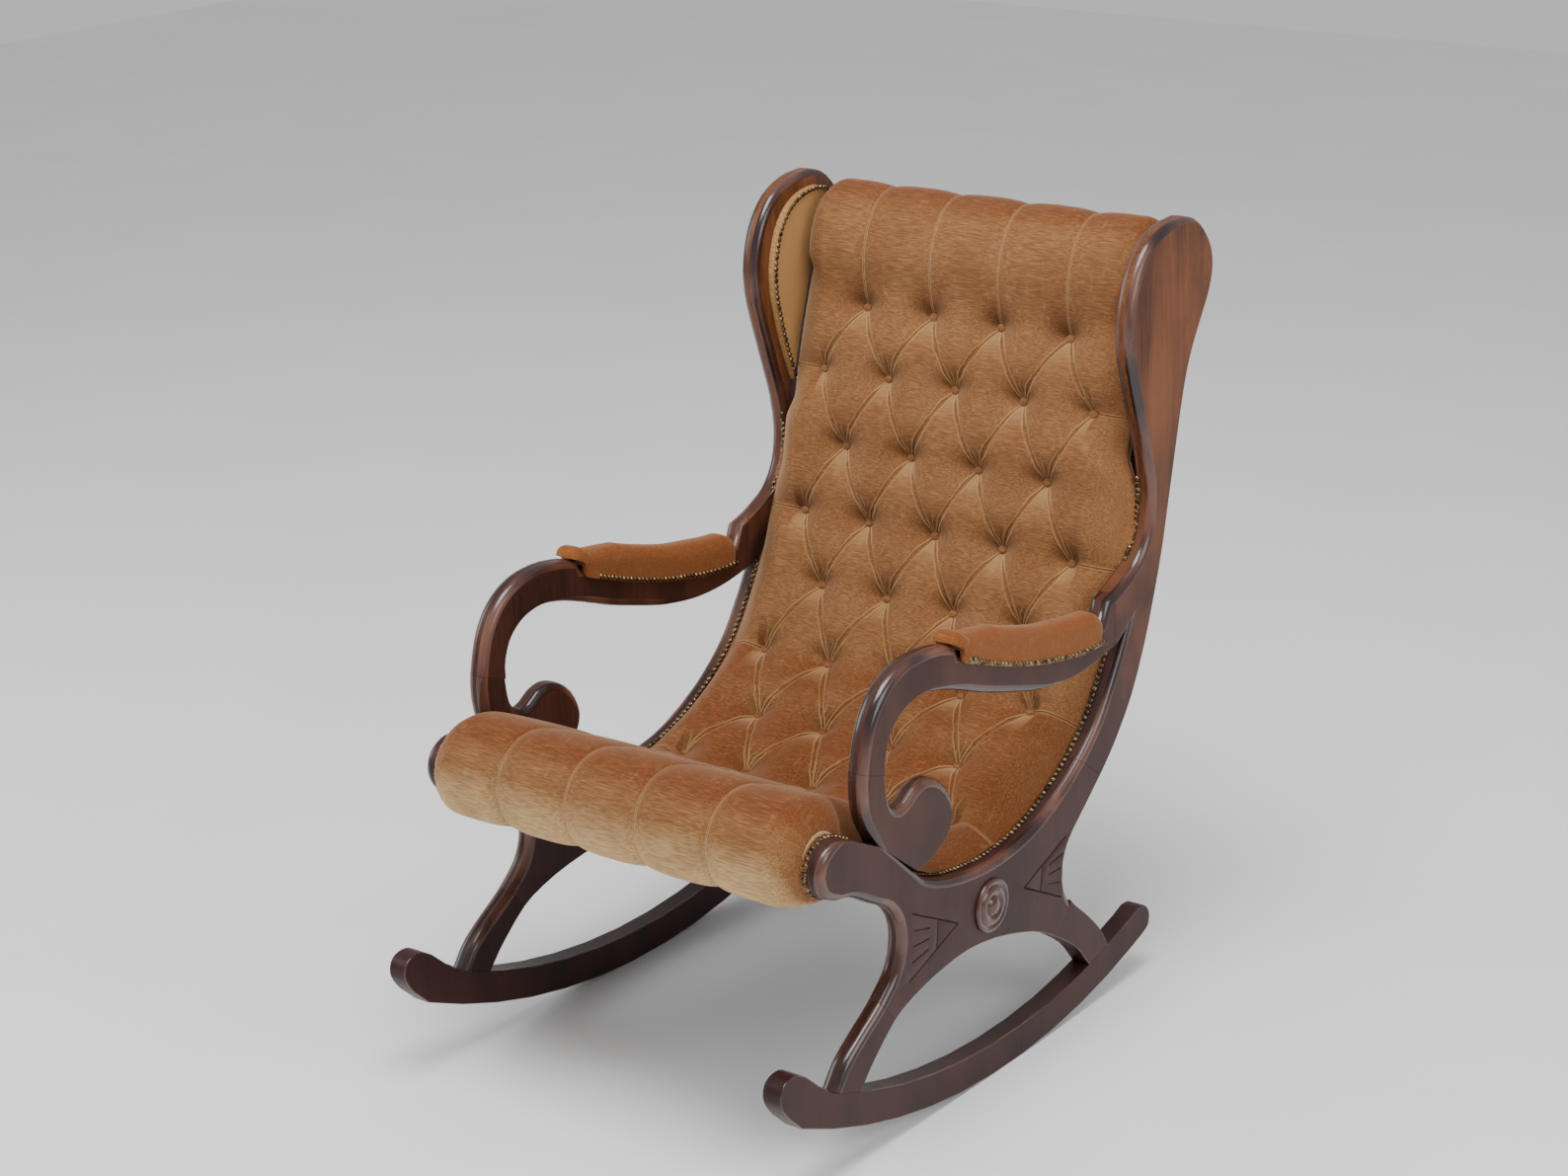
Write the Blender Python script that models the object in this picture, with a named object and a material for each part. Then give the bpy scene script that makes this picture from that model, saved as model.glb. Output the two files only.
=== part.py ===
"""Deep-buttoned rocking chair on curved runners.

Two flat side frames of stained hardwood are joined by four cross rails. One run of tufted
padding lies on webbing between them, from the roll at the front edge of the seat to the roll
at the head. The chair faces -Y, X runs across it and +Z is up. All lengths are in metres.
"""
import math

import bmesh
import bpy
from mathutils import Vector

# ---- driving dimensions -----------------------------------------------------------------
WIDTH = 0.600             # over the outer faces of the two side frames
DEPTH = 0.930             # front tip of a runner to the back of a wing
HEIGHT = 0.989            # floor to the top of a wing
DRAWN_DEPTH = 0.930       # the depth and height that the side outlines are drawn at
DRAWN_HEIGHT = 0.989
BOARD = 0.026             # thickness of the side frame boards
GAP = 0.0003              # clearance between faces that touch
CURVE_STEP = 0.00035      # how far a straight stretch of an outline may stray from its curve

RUNNER_RADIUS = 0.962     # rocking curve, at its underside
RUNNER_HEIGHT = 0.042
RUNNER_FACET = math.radians(4.0)
CONTACT_Y = -0.006        # where the rocking curve meets the floor at rest

PADDING = 0.034           # height of the tufted padding above the edge of the frame
PADDING_BASE = 0.007      # how far it reaches down between the side frames
WEBBING = 0.002
RAIL = 0.020              # thickness of a cross rail
COVER = 0.0016            # thickness of the cloth behind the back and under the seat
FRONT_ROLL_RADIUS = 0.064
ROLL_PADDING = 0.009      # between the front rail and the cover of the roll

ROSETTE_RADIUS = 0.034
ROSETTE_HEIGHT = 0.009
DOWEL_RADIUS = 0.004
DOWEL_LENGTH = 0.036
DOWEL_SPACING = 0.024
DOWEL_FIT = 0.00035       # radial play of a dowel in its hole

WING_PAD = 0.010          # padding on the inner face of a wing
ARM_PAD_HEIGHT = 0.033
ARM_PAD_OVERHANG = 0.009  # how far the arm pad stands out past each face of the arm
ARM_FLAP = 0.012          # cloth that hangs down over the sides of the arm
NAIL_ROW = 0.006          # width of a row of nail heads
NAIL_HEIGHT = 0.0015
CARVING_WIDTH = 0.0022
CARVING_DEPTH = 0.0018
BAR = 0.44                # where the bar crosses a carved triangle, from its tip
RAY_START = 0.62
RAY_END = 0.95

# ---- side outlines, drawn as (y, z) ------------------------------------------------------
# A curve runs smoothly through its points, and it is cut at its points where boards meet.
WING_TO_ARM = [(0.395, 0.989), (0.352, 0.985), (0.312, 0.967), (0.283, 0.931), (0.269, 0.885),
               (0.270, 0.843), (0.283, 0.795), (0.302, 0.740), (0.318, 0.690), (0.325, 0.645),
               (0.319, 0.602), (0.297, 0.570), (0.262, 0.551), (0.240, 0.543), (0.222, 0.538)]
ARM_JOINT = 13
ARM_RECESS = [(0.211, 0.512), (0.150, 0.507), (0.080, 0.514), (0.000, 0.535), (-0.060, 0.556),
              (-0.104, 0.569)]
SCROLL_FRONT = [(-0.108, 0.580), (-0.140, 0.589), (-0.180, 0.593), (-0.222, 0.587),
                (-0.258, 0.567), (-0.283, 0.533), (-0.297, 0.483), (-0.298, 0.450),
                (-0.291, 0.420), (-0.274, 0.390)]
SCROLL_JOINT = 6
OPENING_TOP = [(0.2705, 0.492), (0.252, 0.480), (0.236, 0.4755), (0.190, 0.467), (0.150, 0.464),
               (0.111, 0.465), (0.060, 0.472), (0.010, 0.485), (-0.049, 0.503), (-0.105, 0.524),
               (-0.150, 0.538), (-0.185, 0.543), (-0.217, 0.536), (-0.240, 0.519),
               (-0.2525, 0.494), (-0.254, 0.468), (-0.250, 0.444), (-0.241, 0.427),
               (-0.227, 0.4185), (-0.212, 0.421), (-0.196, 0.431), (-0.175, 0.436),
               (-0.152, 0.430), (-0.132, 0.414), (-0.121, 0.392), (-0.122, 0.368),
               (-0.136, 0.348), (-0.160, 0.336), (-0.192, 0.3275)]
OPENING_ARM_JOINT = 2
OPENING_SCROLL_JOINT = 15
OPENING_SEAT = [(-0.192, 0.3275), (-0.172, 0.311), (-0.130, 0.295), (-0.075, 0.285),
                (-0.020, 0.283), (0.045, 0.292), (0.105, 0.315), (0.160, 0.348), (0.205, 0.389),
                (0.240, 0.440), (0.258, 0.470), (0.2705, 0.492)]
OPENING_STILE_JOINT = 7
RAIL_FRONT = [(-0.274, 0.390), (-0.300, 0.402), (-0.325, 0.414), (-0.350, 0.419),
              (-0.373, 0.408), (-0.382, 0.385), (-0.373, 0.361), (-0.350, 0.348),
              (-0.320, 0.341), (-0.283, 0.320), (-0.248, 0.300), (-0.229, 0.273),
              (-0.226, 0.244), (-0.237, 0.215), (-0.267, 0.187), (-0.305, 0.163),
              (-0.335, 0.142), (-0.357, 0.1175)]
FRONT_LEG_JOINT = 14
UNDER_HUB = [(-0.311, 0.0975), (-0.284, 0.1245), (-0.243, 0.157), (-0.205, 0.172),
             (-0.154, 0.183), (-0.094, 0.188), (-0.032, 0.181), (0.0285, 0.165), (0.068, 0.150),
             (0.107, 0.128), (0.150, 0.098), (0.1815, 0.0625)]
UNDER_FRONT_JOINT = 2
UNDER_REAR_JOINT = 9
BACK_EDGE = [(0.2275, 0.0728), (0.206, 0.104), (0.173, 0.1365), (0.139, 0.167), (0.122, 0.200),
             (0.121, 0.227), (0.134, 0.252), (0.166, 0.280), (0.206, 0.313), (0.244, 0.350),
             (0.281, 0.399), (0.310, 0.456), (0.332, 0.515), (0.352, 0.578), (0.378, 0.688),
             (0.399, 0.772), (0.416, 0.815), (0.438, 0.852), (0.457, 0.884), (0.465, 0.912),
             (0.460, 0.940), (0.441, 0.966), (0.419, 0.983), (0.395, 0.989)]
REAR_LEG_JOINT = 3
STILE_JOINT = 8
RUNNER_TIP = [(-0.425, 0.0985), (-0.449, 0.118), (-0.4645, 0.143), (-0.459, 0.163),
              (-0.437, 0.168), (-0.415, 0.157), (-0.392, 0.136), (-0.366, 0.1205)]
RUNNER_TAIL = [(0.300, 0.0944), (0.318, 0.0925), (0.329, 0.079), (0.327, 0.062), (0.312, 0.0535),
               (0.293, 0.0478)]

# The edge of the frame that the padding lies along, and the padding's height there as a share
# of PADDING.
PAD_LINE = [(-0.285, 0.366, 2.05), (-0.235, 0.345, 1.85), (-0.192, 0.3275, 1.60),
            (-0.130, 0.297, 1.28), (-0.075, 0.286, 1.00), (-0.020, 0.283, 1.00),
            (0.045, 0.292, 1.12), (0.105, 0.315, 1.18), (0.160, 0.348, 1.15),
            (0.205, 0.389, 1.08), (0.240, 0.440, 1.00), (0.268, 0.492, 1.00),
            (0.283, 0.530, 1.00), (0.296, 0.570, 0.98), (0.307, 0.613, 0.97),
            (0.318, 0.660, 0.97), (0.334, 0.720, 0.95), (0.352, 0.780, 0.92),
            (0.372, 0.840, 0.90), (0.392, 0.885, 0.90), (0.409, 0.925, 0.90)]
SEAT_END = 8.0            # places along PAD_LINE, in points from its start
LUMBAR_END = 11.0
BACK_END = 17.5
FRONT_SEAT_RAIL = (0.0, 2.0)
LUMBAR_RAIL = (8.5, 9.5)
TOP_RAIL = (18.5, 19.5)
WEBBING_JOINT = 9.0
WEBBING_END = 19.0
WING_START = 15.0
WING_NARROW = 15.5
HEAD_ROLL = [(0.3405, 0.835), (0.345, 0.866), (0.347, 0.902), (0.360, 0.938), (0.381, 0.964),
             (0.413, 0.977), (0.440, 0.970), (0.456, 0.948), (0.4615, 0.918), (0.4595, 0.892)]
FRONT_ROLL_CENTRE = (-0.348, 0.392)
FRONT_ROLL_BACK = [(-0.262, 0.4315), (-0.300, 0.4495)]
WING_PANEL = [(0.452, 0.932), (0.430, 0.955), (0.395, 0.968), (0.350, 0.960), (0.317, 0.933),
              (0.299, 0.889), (0.297, 0.845), (0.308, 0.795), (0.323, 0.749), (0.338, 0.714)]
ROSETTE_CENTRE = (-0.042, 0.2285)
CARVINGS = {
    "front": ((-0.112, 0.231), (-0.206, 0.279), (-0.214, 0.195)),
    "rear": ((0.031, 0.224), (0.125, 0.259), (0.114, 0.181)),
}

WOOD = (0.060, 0.018, 0.012)
WING_WOOD = (0.120, 0.036, 0.016)
HIDDEN_WOOD = (0.48, 0.33, 0.19)
VELVET = (0.44, 0.20, 0.065)
LIGHT_VELVET = (0.52, 0.31, 0.14)
BRASS = (0.33, 0.22, 0.10)
WEB_CLOTH = (0.36, 0.27, 0.16)
DUST_CLOTH = (0.05, 0.05, 0.05)

INNER = WIDTH / 2 - BOARD
PAD_EDGE = INNER - GAP


def at(point):
    """A drawn (y, z) point at the chair's own depth and height."""
    return Vector((point[0] * DEPTH / DRAWN_DEPTH, point[1] * HEIGHT / DRAWN_HEIGHT))


def material(name, colour, roughness, metallic=0.0):
    made = bpy.data.materials.get(name)
    if made:
        return made
    made = bpy.data.materials.new(name)
    made.use_nodes = True
    shader = made.node_tree.nodes["Principled BSDF"]
    shader.inputs["Base Color"].default_value = (*colour, 1.0)
    shader.inputs["Roughness"].default_value = roughness
    shader.inputs["Metallic"].default_value = metallic
    return made


def finish(mesh_data, name, look):
    """Turn a bmesh into a named object with outward faces."""
    bmesh.ops.recalc_face_normals(mesh_data, faces=mesh_data.faces)
    mesh = bpy.data.meshes.new(name)
    mesh_data.to_mesh(mesh)
    mesh_data.free()
    made = bpy.data.objects.new(name, mesh)
    bpy.context.scene.collection.objects.link(made)
    mesh.materials.append(look)
    mesh.shade_smooth()
    mesh.set_sharp_from_angle(angle=math.radians(30))
    return made


# ---- curves ------------------------------------------------------------------------------
def spline_point(points, place):
    """A point of the smooth curve through the points, place counted in points."""
    last = len(points) - 1
    i = min(int(place), last - 1)
    t = place - i
    p1 = Vector(points[i])
    p2 = Vector(points[i + 1])
    p0 = Vector(points[i - 1]) if i else p1 * 2 - p2
    p3 = Vector(points[i + 2]) if i + 2 <= last else p2 * 2 - p1
    return 0.5 * (2 * p1 + (p2 - p0) * t + (2 * p0 - 5 * p1 + 4 * p2 - p3) * t * t
                  + (3 * p1 - p0 - 3 * p2 + p3) * t ** 3)


def thin(points, reach):
    """Leave out the points that a straight stretch comes within reach of."""
    first = points[0]
    chord = points[-1] - first
    normal = Vector((-chord.y, chord.x)).normalized()
    away = [abs((p - first).dot(normal)) for p in points]
    far = max(range(len(points)), key=away.__getitem__)
    if away[far] <= reach or len(points) < 3:
        return [first, points[-1]]
    return thin(points[:far + 1], reach)[:-1] + thin(points[far:], reach)


def stretch(points, start=0, end=None):
    """The curve from one of its points to another, backwards if start is the later one."""
    end = len(points) - 1 if end is None else end
    low, high = sorted((start, end))
    run = []
    for i in range(low, high):
        fine = [at(spline_point(points, i + k / 12)) for k in range(13)]
        run += thin(fine, CURVE_STEP)[:-1]
    run.append(at(points[high]))
    return run if start < end else run[::-1]


def arc(centre, radius, start, end, step):
    """The flat facets of an arc, angles from straight down towards +Y. One faces straight down,
    and the first and last points lie on the facets that they cut short."""
    first = math.ceil(min(start, end) / step - 0.5) + 0.5
    last = math.floor(max(start, end) / step - 0.5) + 0.5
    angles = [min(start, end)]
    while first <= last:
        angles.append(first * step)
        first += 1
    angles.append(max(start, end))
    if start > end:
        angles.reverse()
    points = []
    for a in angles:
        reach = radius * math.cos(step / 2) / math.cos(a - round(a / step) * step)
        points.append(Vector((centre.x + reach * math.sin(a), centre.y - reach * math.cos(a))))
    return points


# ---- solids ------------------------------------------------------------------------------
def board(name, runs, side, look, low=INNER, high=WIDTH / 2):
    """Extrude an outline across X. Where one run ends away from the next, the straight edge
    between them is a glued joint, and it is drawn back by half the clearance."""
    outline = [list(run) for run in runs]
    area = 0.0
    flat = [p for run in outline for p in run]
    for a, b in zip(flat, flat[1:] + flat[:1]):
        area += a.x * b.y - b.x * a.y
    for run, following in zip(outline, outline[1:] + outline[:1]):
        chord = following[0] - run[-1]
        if chord.length > BOARD / 2:
            inward = Vector((-chord.y, chord.x)).normalized() * (GAP / 2)
            if area < 0:
                inward = -inward
            run[-1] = run[-1] + inward
            following[0] = following[0] + inward
    points = []
    for run in outline:
        for p in run:
            if not points or (p - points[-1]).length > GAP:
                points.append(p)
    if (points[0] - points[-1]).length <= GAP:
        points.pop()
    made = bmesh.new()
    face = made.faces.new([made.verts.new((side * low, p.x, p.y)) for p in points])
    swept = bmesh.ops.extrude_face_region(made, geom=[face])
    moved = [v for v in swept["geom"] if isinstance(v, bmesh.types.BMVert)]
    bmesh.ops.translate(made, verts=moved, vec=(side * (high - low), 0, 0))
    return finish(made, name, look)


def loft(name, rings, look):
    """Skin a row of rings of 3-D points and close both ends."""
    made = bmesh.new()
    loops = [[made.verts.new(p) for p in ring] for ring in rings]
    count = len(loops[0])
    for near, far in zip(loops, loops[1:]):
        for k in range(count):
            following = (k + 1) % count
            made.faces.new((near[k], near[following], far[following], far[k]))
    made.faces.new(loops[0])
    made.faces.new(loops[-1])
    return finish(made, name, look)


def cylinder(name, centre, radius, length, sides, look):
    """A cylinder along X."""
    rings = [[(x, centre[0] + radius * math.cos(math.tau * k / sides),
               centre[1] + radius * math.sin(math.tau * k / sides)) for k in range(sides)]
             for x in (centre[2] - length / 2, centre[2] + length / 2)]
    return loft(name, rings, look)


def cut(target, cutter):
    """Boolean the cutter away, and keep it as a wire guide."""
    cutter.hide_render = True
    cutter.display_type = "WIRE"
    change = target.modifiers.new("cut", "BOOLEAN")
    change.operation = "DIFFERENCE"
    change.solver = "EXACT"
    change.object = cutter


def pad_frame(place):
    """Point, direction along, direction out and padding height at a place on PAD_LINE."""
    line = [at(p) for p in PAD_LINE]
    shares = [(p[2], 0.0) for p in PAD_LINE]
    here = spline_point(line, place)
    ahead = spline_point(line, min(place + 0.05, len(line) - 1))
    behind = spline_point(line, max(place - 0.05, 0))
    along = (ahead - behind).normalized()
    out = Vector((-along.y, along.x))
    return here, along, out, spline_point(shares, place).x * PADDING


def pad_point(place, height):
    """The point at a height over the edge of the frame."""
    here, _, out, _ = pad_frame(place)
    return here + out * height


def pad_half_width(place):
    """Full width between the frames, and less where the wings are padded."""
    narrow = WING_PAD + NAIL_HEIGHT + 3 * GAP
    share = min(max((place - WING_START) / (WING_NARROW - WING_START), 0), 1)
    return PAD_EDGE - narrow * share


def stops(start, end):
    """Places at every half point, so that stacked layers bend together."""
    return [start + k / 2 for k in range(int(round((end - start) * 2)) + 1)]


# across the padding: share of its half width, and share of its height above the base
PAD_ACROSS = [(1.0, 0.0), (1.0, 0.40), (0.975, 0.66), (0.90, 0.88), (0.60, 0.98), (0.0, 1.0)]


def padding(name, start, end, look):
    rings = []
    stations = stops(start, end)
    for k, place in enumerate(stations):
        here, along, out, height = pad_frame(place)
        inset = along * (GAP / 2) * ((k == 0) - (k == len(stations) - 1))
        half = pad_half_width(place)
        row = []
        for share, up in PAD_ACROSS:
            p = here + inset + out * (-PADDING_BASE + (PADDING_BASE + height) * up)
            row.append((half * share, p.x, p.y))
        row += [(-x, y, z) for x, y, z in reversed(row[:-1])]
        rings.append(row)
    return loft(name, rings, look)


def pad_sheet(name, start, end, top, thickness, half, look):
    """A thin layer that follows the padding, its upper face at height top."""
    rings = []
    for place in stops(start, end):
        inset = pad_frame(place)[1] * (GAP / 2) * ((place == start) - (place == end))
        upper = pad_point(place, top) + inset
        lower = pad_point(place, top - thickness) + inset
        rings.append([(-half, upper.x, upper.y), (half, upper.x, upper.y),
                      (half, lower.x, lower.y), (-half, lower.x, lower.y)])
    return loft(name, rings, look)


# ---- layers behind the padding, as heights over the edge of the frame --------------------
WEBBING_TOP = -PADDING_BASE - GAP
RAIL_FACE = WEBBING_TOP - WEBBING - GAP
COVER_TOP = RAIL_FACE - RAIL - GAP


def dowel(rail, board_piece, side, name, centre, radius, look):
    """A dowel from the end of a rail into the side frame, and its blind holes."""
    where = (centre.x, centre.y, side * INNER)
    cylinder(f"{name}_dowel", where, radius, DOWEL_LENGTH, 10, look)
    hole = cylinder(f"{name}_hole", where, radius + DOWEL_FIT, DOWEL_LENGTH + 2 * GAP, 10, look)
    cut(rail, hole)
    cut(board_piece, hole)


def dowel_pair(rail, board_piece, side, name, centre, along, look):
    for sign, label in ((-1, "lower"), (1, "upper")):
        dowel(rail, board_piece, side, f"{name}_{label}",
              centre + along * (sign * DOWEL_SPACING / 2), DOWEL_RADIUS, look)


def strip(name, line, outs, across, lift, side, look):
    """A flat row of nail heads along a line, raised by lift along outs, X from across."""
    rings = []
    for p, out in zip(line, outs):
        low = p + out * lift
        high = p + out * (lift + NAIL_HEIGHT)
        rings.append([(side * across[0], low.x, low.y), (side * across[1], low.x, low.y),
                      (side * across[1], high.x, high.y), (side * across[0], high.x, high.y)])
    return loft(name, rings, look)


def normals(line):
    """The direction to the left of the line at each of its points."""
    made = []
    for i, _ in enumerate(line):
        along = (line[min(i + 1, len(line) - 1)] - line[max(i - 1, 0)]).normalized()
        made.append(Vector((-along.y, along.x)))
    return made


def face_strip(name, line, width, low, high, side, look):
    """A row of nail heads on a flat side face, X from low to high."""
    outs = normals(line)
    rings = []
    for p, out in zip(line, outs):
        a = p + out * (width / 2)
        b = p - out * (width / 2)
        rings.append([(side * low, a.x, a.y), (side * high, a.x, a.y),
                      (side * high, b.x, b.y), (side * low, b.x, b.y)])
    return loft(name, rings, look)


# ---- side frames -------------------------------------------------------------------------
def runner(name, side, look):
    centre = at((CONTACT_Y, 0.0)) + Vector((0, RUNNER_RADIUS * math.cos(RUNNER_FACET / 2)))
    inner = RUNNER_RADIUS - RUNNER_HEIGHT

    def angle(p):
        away = at(p) - centre
        return math.atan2(away.x, -away.y)

    under = arc(centre, RUNNER_RADIUS, angle(RUNNER_TAIL[-1]), angle(RUNNER_TIP[0]), RUNNER_FACET)
    over = arc(centre, inner, angle(RUNNER_TIP[-1]), angle(RUNNER_TAIL[0]), RUNNER_FACET)
    tip = stretch(RUNNER_TIP)
    tail = stretch(RUNNER_TAIL)
    return board(name, [under + tip[1:-1] + over + tail[1:-1]], side, look), centre, inner


def foot(leg_front, leg_back, centre, radius):
    """The underside of a leg, following the top of the runner."""
    def angle(p):
        away = p - centre
        return math.atan2(away.x, -away.y)
    return arc(centre, radius - GAP, angle(leg_front), angle(leg_back), RUNNER_FACET)


def carve(target, name, side, corners, look):
    """Cut a triangle of grooves and its three rays into the outer face of a board."""
    tip, high, low = [at(p) for p in corners]
    bar_high = tip.lerp(high, BAR)
    bar_low = tip.lerp(low, BAR)
    lines = [(tip, high), (tip, low), (bar_high, bar_low)]
    for share in (0.25, 0.5, 0.75):
        ray = high.lerp(low, share) - tip
        lines.append((tip + ray * RAY_START, tip + ray * RAY_END))
    for number, (a, b) in enumerate(lines):
        along = (b - a).normalized()
        wide = Vector((-along.y, along.x)) * (CARVING_WIDTH / 2)
        shift = along * (CARVING_WIDTH * 0.3 if number in (1, 2) else 0)
        depth = CARVING_DEPTH * (1 - 0.04 * number)
        corners_2d = [a + shift - wide, b + shift - wide, b + shift + wide, a + shift + wide]
        rings = [[(side * x, p.x, p.y) for p in corners_2d]
                 for x in (WIDTH / 2 - depth, WIDTH / 2 + depth)]
        cut(target, loft(f"{name}_groove_{number}", rings, look))


def rosette(name, side, look):
    """A turned boss with rings, standing on the outer face of the side rail."""
    centre = at(ROSETTE_CENTRE)
    profile = [(1.0, 0.0), (1.0, 0.35), (0.88, 0.62), (0.76, 0.50), (0.60, 0.82), (0.46, 0.60),
               (0.28, 0.95), (0.10, 1.0)]
    sides = 20
    rings = []
    for share, rise in profile:
        x = side * (WIDTH / 2 + GAP + ROSETTE_HEIGHT * rise)
        rings.append([(x, centre.x + ROSETTE_RADIUS * share * math.cos(math.tau * k / sides),
                       centre.y + ROSETTE_RADIUS * share * math.sin(math.tau * k / sides))
                      for k in range(sides)])
    return loft(name, rings, look)


def arm_pad(name, side, look):
    """A saddle of padding in the recess of the arm, with a tongue over the scroll."""
    line = [(0.209, 0.5125), *ARM_RECESS[1:-1], (-0.099, 0.5690), (-0.1095, 0.5830),
            (-0.130, 0.5885), (-0.154, 0.5925)]
    flap_ends = 6
    shrink = [0.80, 1.0, 1.0, 1.0, 1.0, 0.96, 0.62, 0.55, 0.40]
    points = [at(p) for p in line]
    outs = [-n for n in normals(points)]
    middle = WIDTH / 2 - BOARD / 2
    half = BOARD / 2
    rings = []
    for i, (p, out) in enumerate(zip(points, outs)):
        flap = -ARM_FLAP if i < flap_ends else GAP * 0.5
        tall = ARM_PAD_HEIGHT * shrink[i]
        bulge = half + ARM_PAD_OVERHANG
        shape = [(half + 0.0035, flap), (bulge, tall * 0.12 + GAP), (bulge - 0.001, tall * 0.65),
                 (half - 0.001, tall)]
        shape += [(-x, h) for x, h in reversed(shape)]
        shape += [(-half - GAP, flap), (-half - GAP, GAP), (half + GAP, GAP), (half + GAP, flap)]
        rings.append([(side * middle + x, (p + out * h).x, (p + out * h).y) for x, h in shape])
    return loft(name, rings, look)


def wing_outline():
    """The padded face of a wing, closed behind along the back padding."""
    behind = [pad_point(place, -PADDING_BASE / 2) for place in (17.0, 18.0, 19.0, 19.5)]
    return stretch(WING_PANEL) + behind


def side_frame(side, prefix, wood, wing_wood, velvet, light, brass):
    made = {}
    made["runner"], centre, inner = runner(f"{prefix}_runner", side, wood)
    made["stile"] = board(f"{prefix}_stile", [
        stretch(WING_TO_ARM, 0, ARM_JOINT),
        stretch(OPENING_TOP, OPENING_ARM_JOINT, 0)[:-1]
        + stretch(OPENING_SEAT, len(OPENING_SEAT) - 1, OPENING_STILE_JOINT),
        stretch(BACK_EDGE, STILE_JOINT, len(BACK_EDGE) - 1)], side, wing_wood)
    made["arm"] = board(f"{prefix}_arm", [
        stretch(WING_TO_ARM, ARM_JOINT, len(WING_TO_ARM) - 1) + stretch(ARM_RECESS)
        + stretch(SCROLL_FRONT, 0, SCROLL_JOINT),
        stretch(OPENING_TOP, OPENING_SCROLL_JOINT, OPENING_ARM_JOINT)], side, wood)
    made["arm_scroll"] = board(f"{prefix}_arm_scroll", [
        stretch(SCROLL_FRONT, SCROLL_JOINT, len(SCROLL_FRONT) - 1),
        stretch(OPENING_TOP, len(OPENING_TOP) - 1, OPENING_SCROLL_JOINT)], side, wood)
    made["side_rail"] = board(f"{prefix}_side_rail", [
        stretch(RAIL_FRONT, 0, FRONT_LEG_JOINT),
        stretch(UNDER_HUB, UNDER_FRONT_JOINT, UNDER_REAR_JOINT),
        stretch(BACK_EDGE, REAR_LEG_JOINT, STILE_JOINT),
        stretch(OPENING_SEAT, OPENING_STILE_JOINT, 0)], side, wood)
    front = stretch(RAIL_FRONT, FRONT_LEG_JOINT, len(RAIL_FRONT) - 1)
    behind = stretch(UNDER_HUB, 0, UNDER_FRONT_JOINT)
    made["front_leg"] = board(f"{prefix}_front_leg", [
        front[:-1] + foot(front[-1], behind[0], centre, inner) + behind[1:]], side, wood)
    front = stretch(UNDER_HUB, UNDER_REAR_JOINT, len(UNDER_HUB) - 1)
    behind = stretch(BACK_EDGE, 0, REAR_LEG_JOINT)
    made["rear_leg"] = board(f"{prefix}_rear_leg", [
        front[:-1] + foot(front[-1], behind[0], centre, inner) + behind[1:]], side, wood)
    for label, corners in CARVINGS.items():
        carve(made["side_rail"], f"{prefix}_{label}", side, corners, wood)
    rosette(f"{prefix}_rosette", side, wood)
    arm_pad(f"{prefix}_arm_pad", side, velvet)
    board(f"{prefix}_wing_pad", [wing_outline()], side, light, INNER - GAP - WING_PAD,
          INNER - GAP)

    nails = stretch(WING_PANEL)
    low = INNER - 2 * GAP - WING_PAD
    face_strip(f"{prefix}_wing_nails", nails, NAIL_ROW, low - NAIL_HEIGHT, low, side, brass)
    line = stretch(ARM_RECESS)
    line = [p + Vector((0, -ARM_FLAP * 0.6)) for p in line]
    middle = WIDTH / 2 - BOARD / 2
    reach = BOARD / 2 + 0.0072
    face_strip(f"{prefix}_arm_outer_nails", line, NAIL_ROW, middle + reach,
               middle + reach + NAIL_HEIGHT, side, brass)
    face_strip(f"{prefix}_arm_inner_nails", line, NAIL_ROW, middle - reach - NAIL_HEIGHT,
               middle - reach, side, brass)
    line = stretch(OPENING_SEAT)[1:-1]
    strip(f"{prefix}_seat_nails", line, normals(line), (INNER, INNER + NAIL_ROW), GAP, side,
          brass)
    line = stretch(WING_TO_ARM, 9, 11)
    strip(f"{prefix}_back_nails", line, [-n for n in normals(line)],
          (INNER, INNER + NAIL_ROW), GAP, side, brass)
    line = stretch(RAIL_FRONT, 1, 7)
    strip(f"{prefix}_roll_nails", line, [-n for n in normals(line)],
          (INNER, INNER + NAIL_ROW), GAP, side, brass)
    return made


# ---- upholstery --------------------------------------------------------------------------
def head_roll(name, look):
    """The roll over the top rail, hooked down behind it."""
    half = pad_half_width(len(PAD_LINE) - 1)
    seam = pad_frame(BACK_END)[1] * (GAP / 2)
    crown = pad_point(BACK_END, pad_frame(BACK_END)[3]) + seam
    top = TOP_RAIL[1]
    over = pad_frame(top)[1] * GAP
    behind = COVER_TOP - COVER - GAP
    inner = [pad_point(top - 0.5, behind), pad_point(top, behind), pad_point(top, behind) + over,
             pad_point(top, -PADDING_BASE) + over]
    inner += [pad_point(place, -PADDING_BASE) for place in reversed(stops(BACK_END + 0.5, top))]
    inner.append(pad_point(BACK_END, -PADDING_BASE) + seam)
    outline = [crown] + stretch(HEAD_ROLL)[1:] + inner
    rings = [[(x, p.x, p.y) for p in outline] for x in (-half, half)]
    return loft(name, rings, look)


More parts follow.
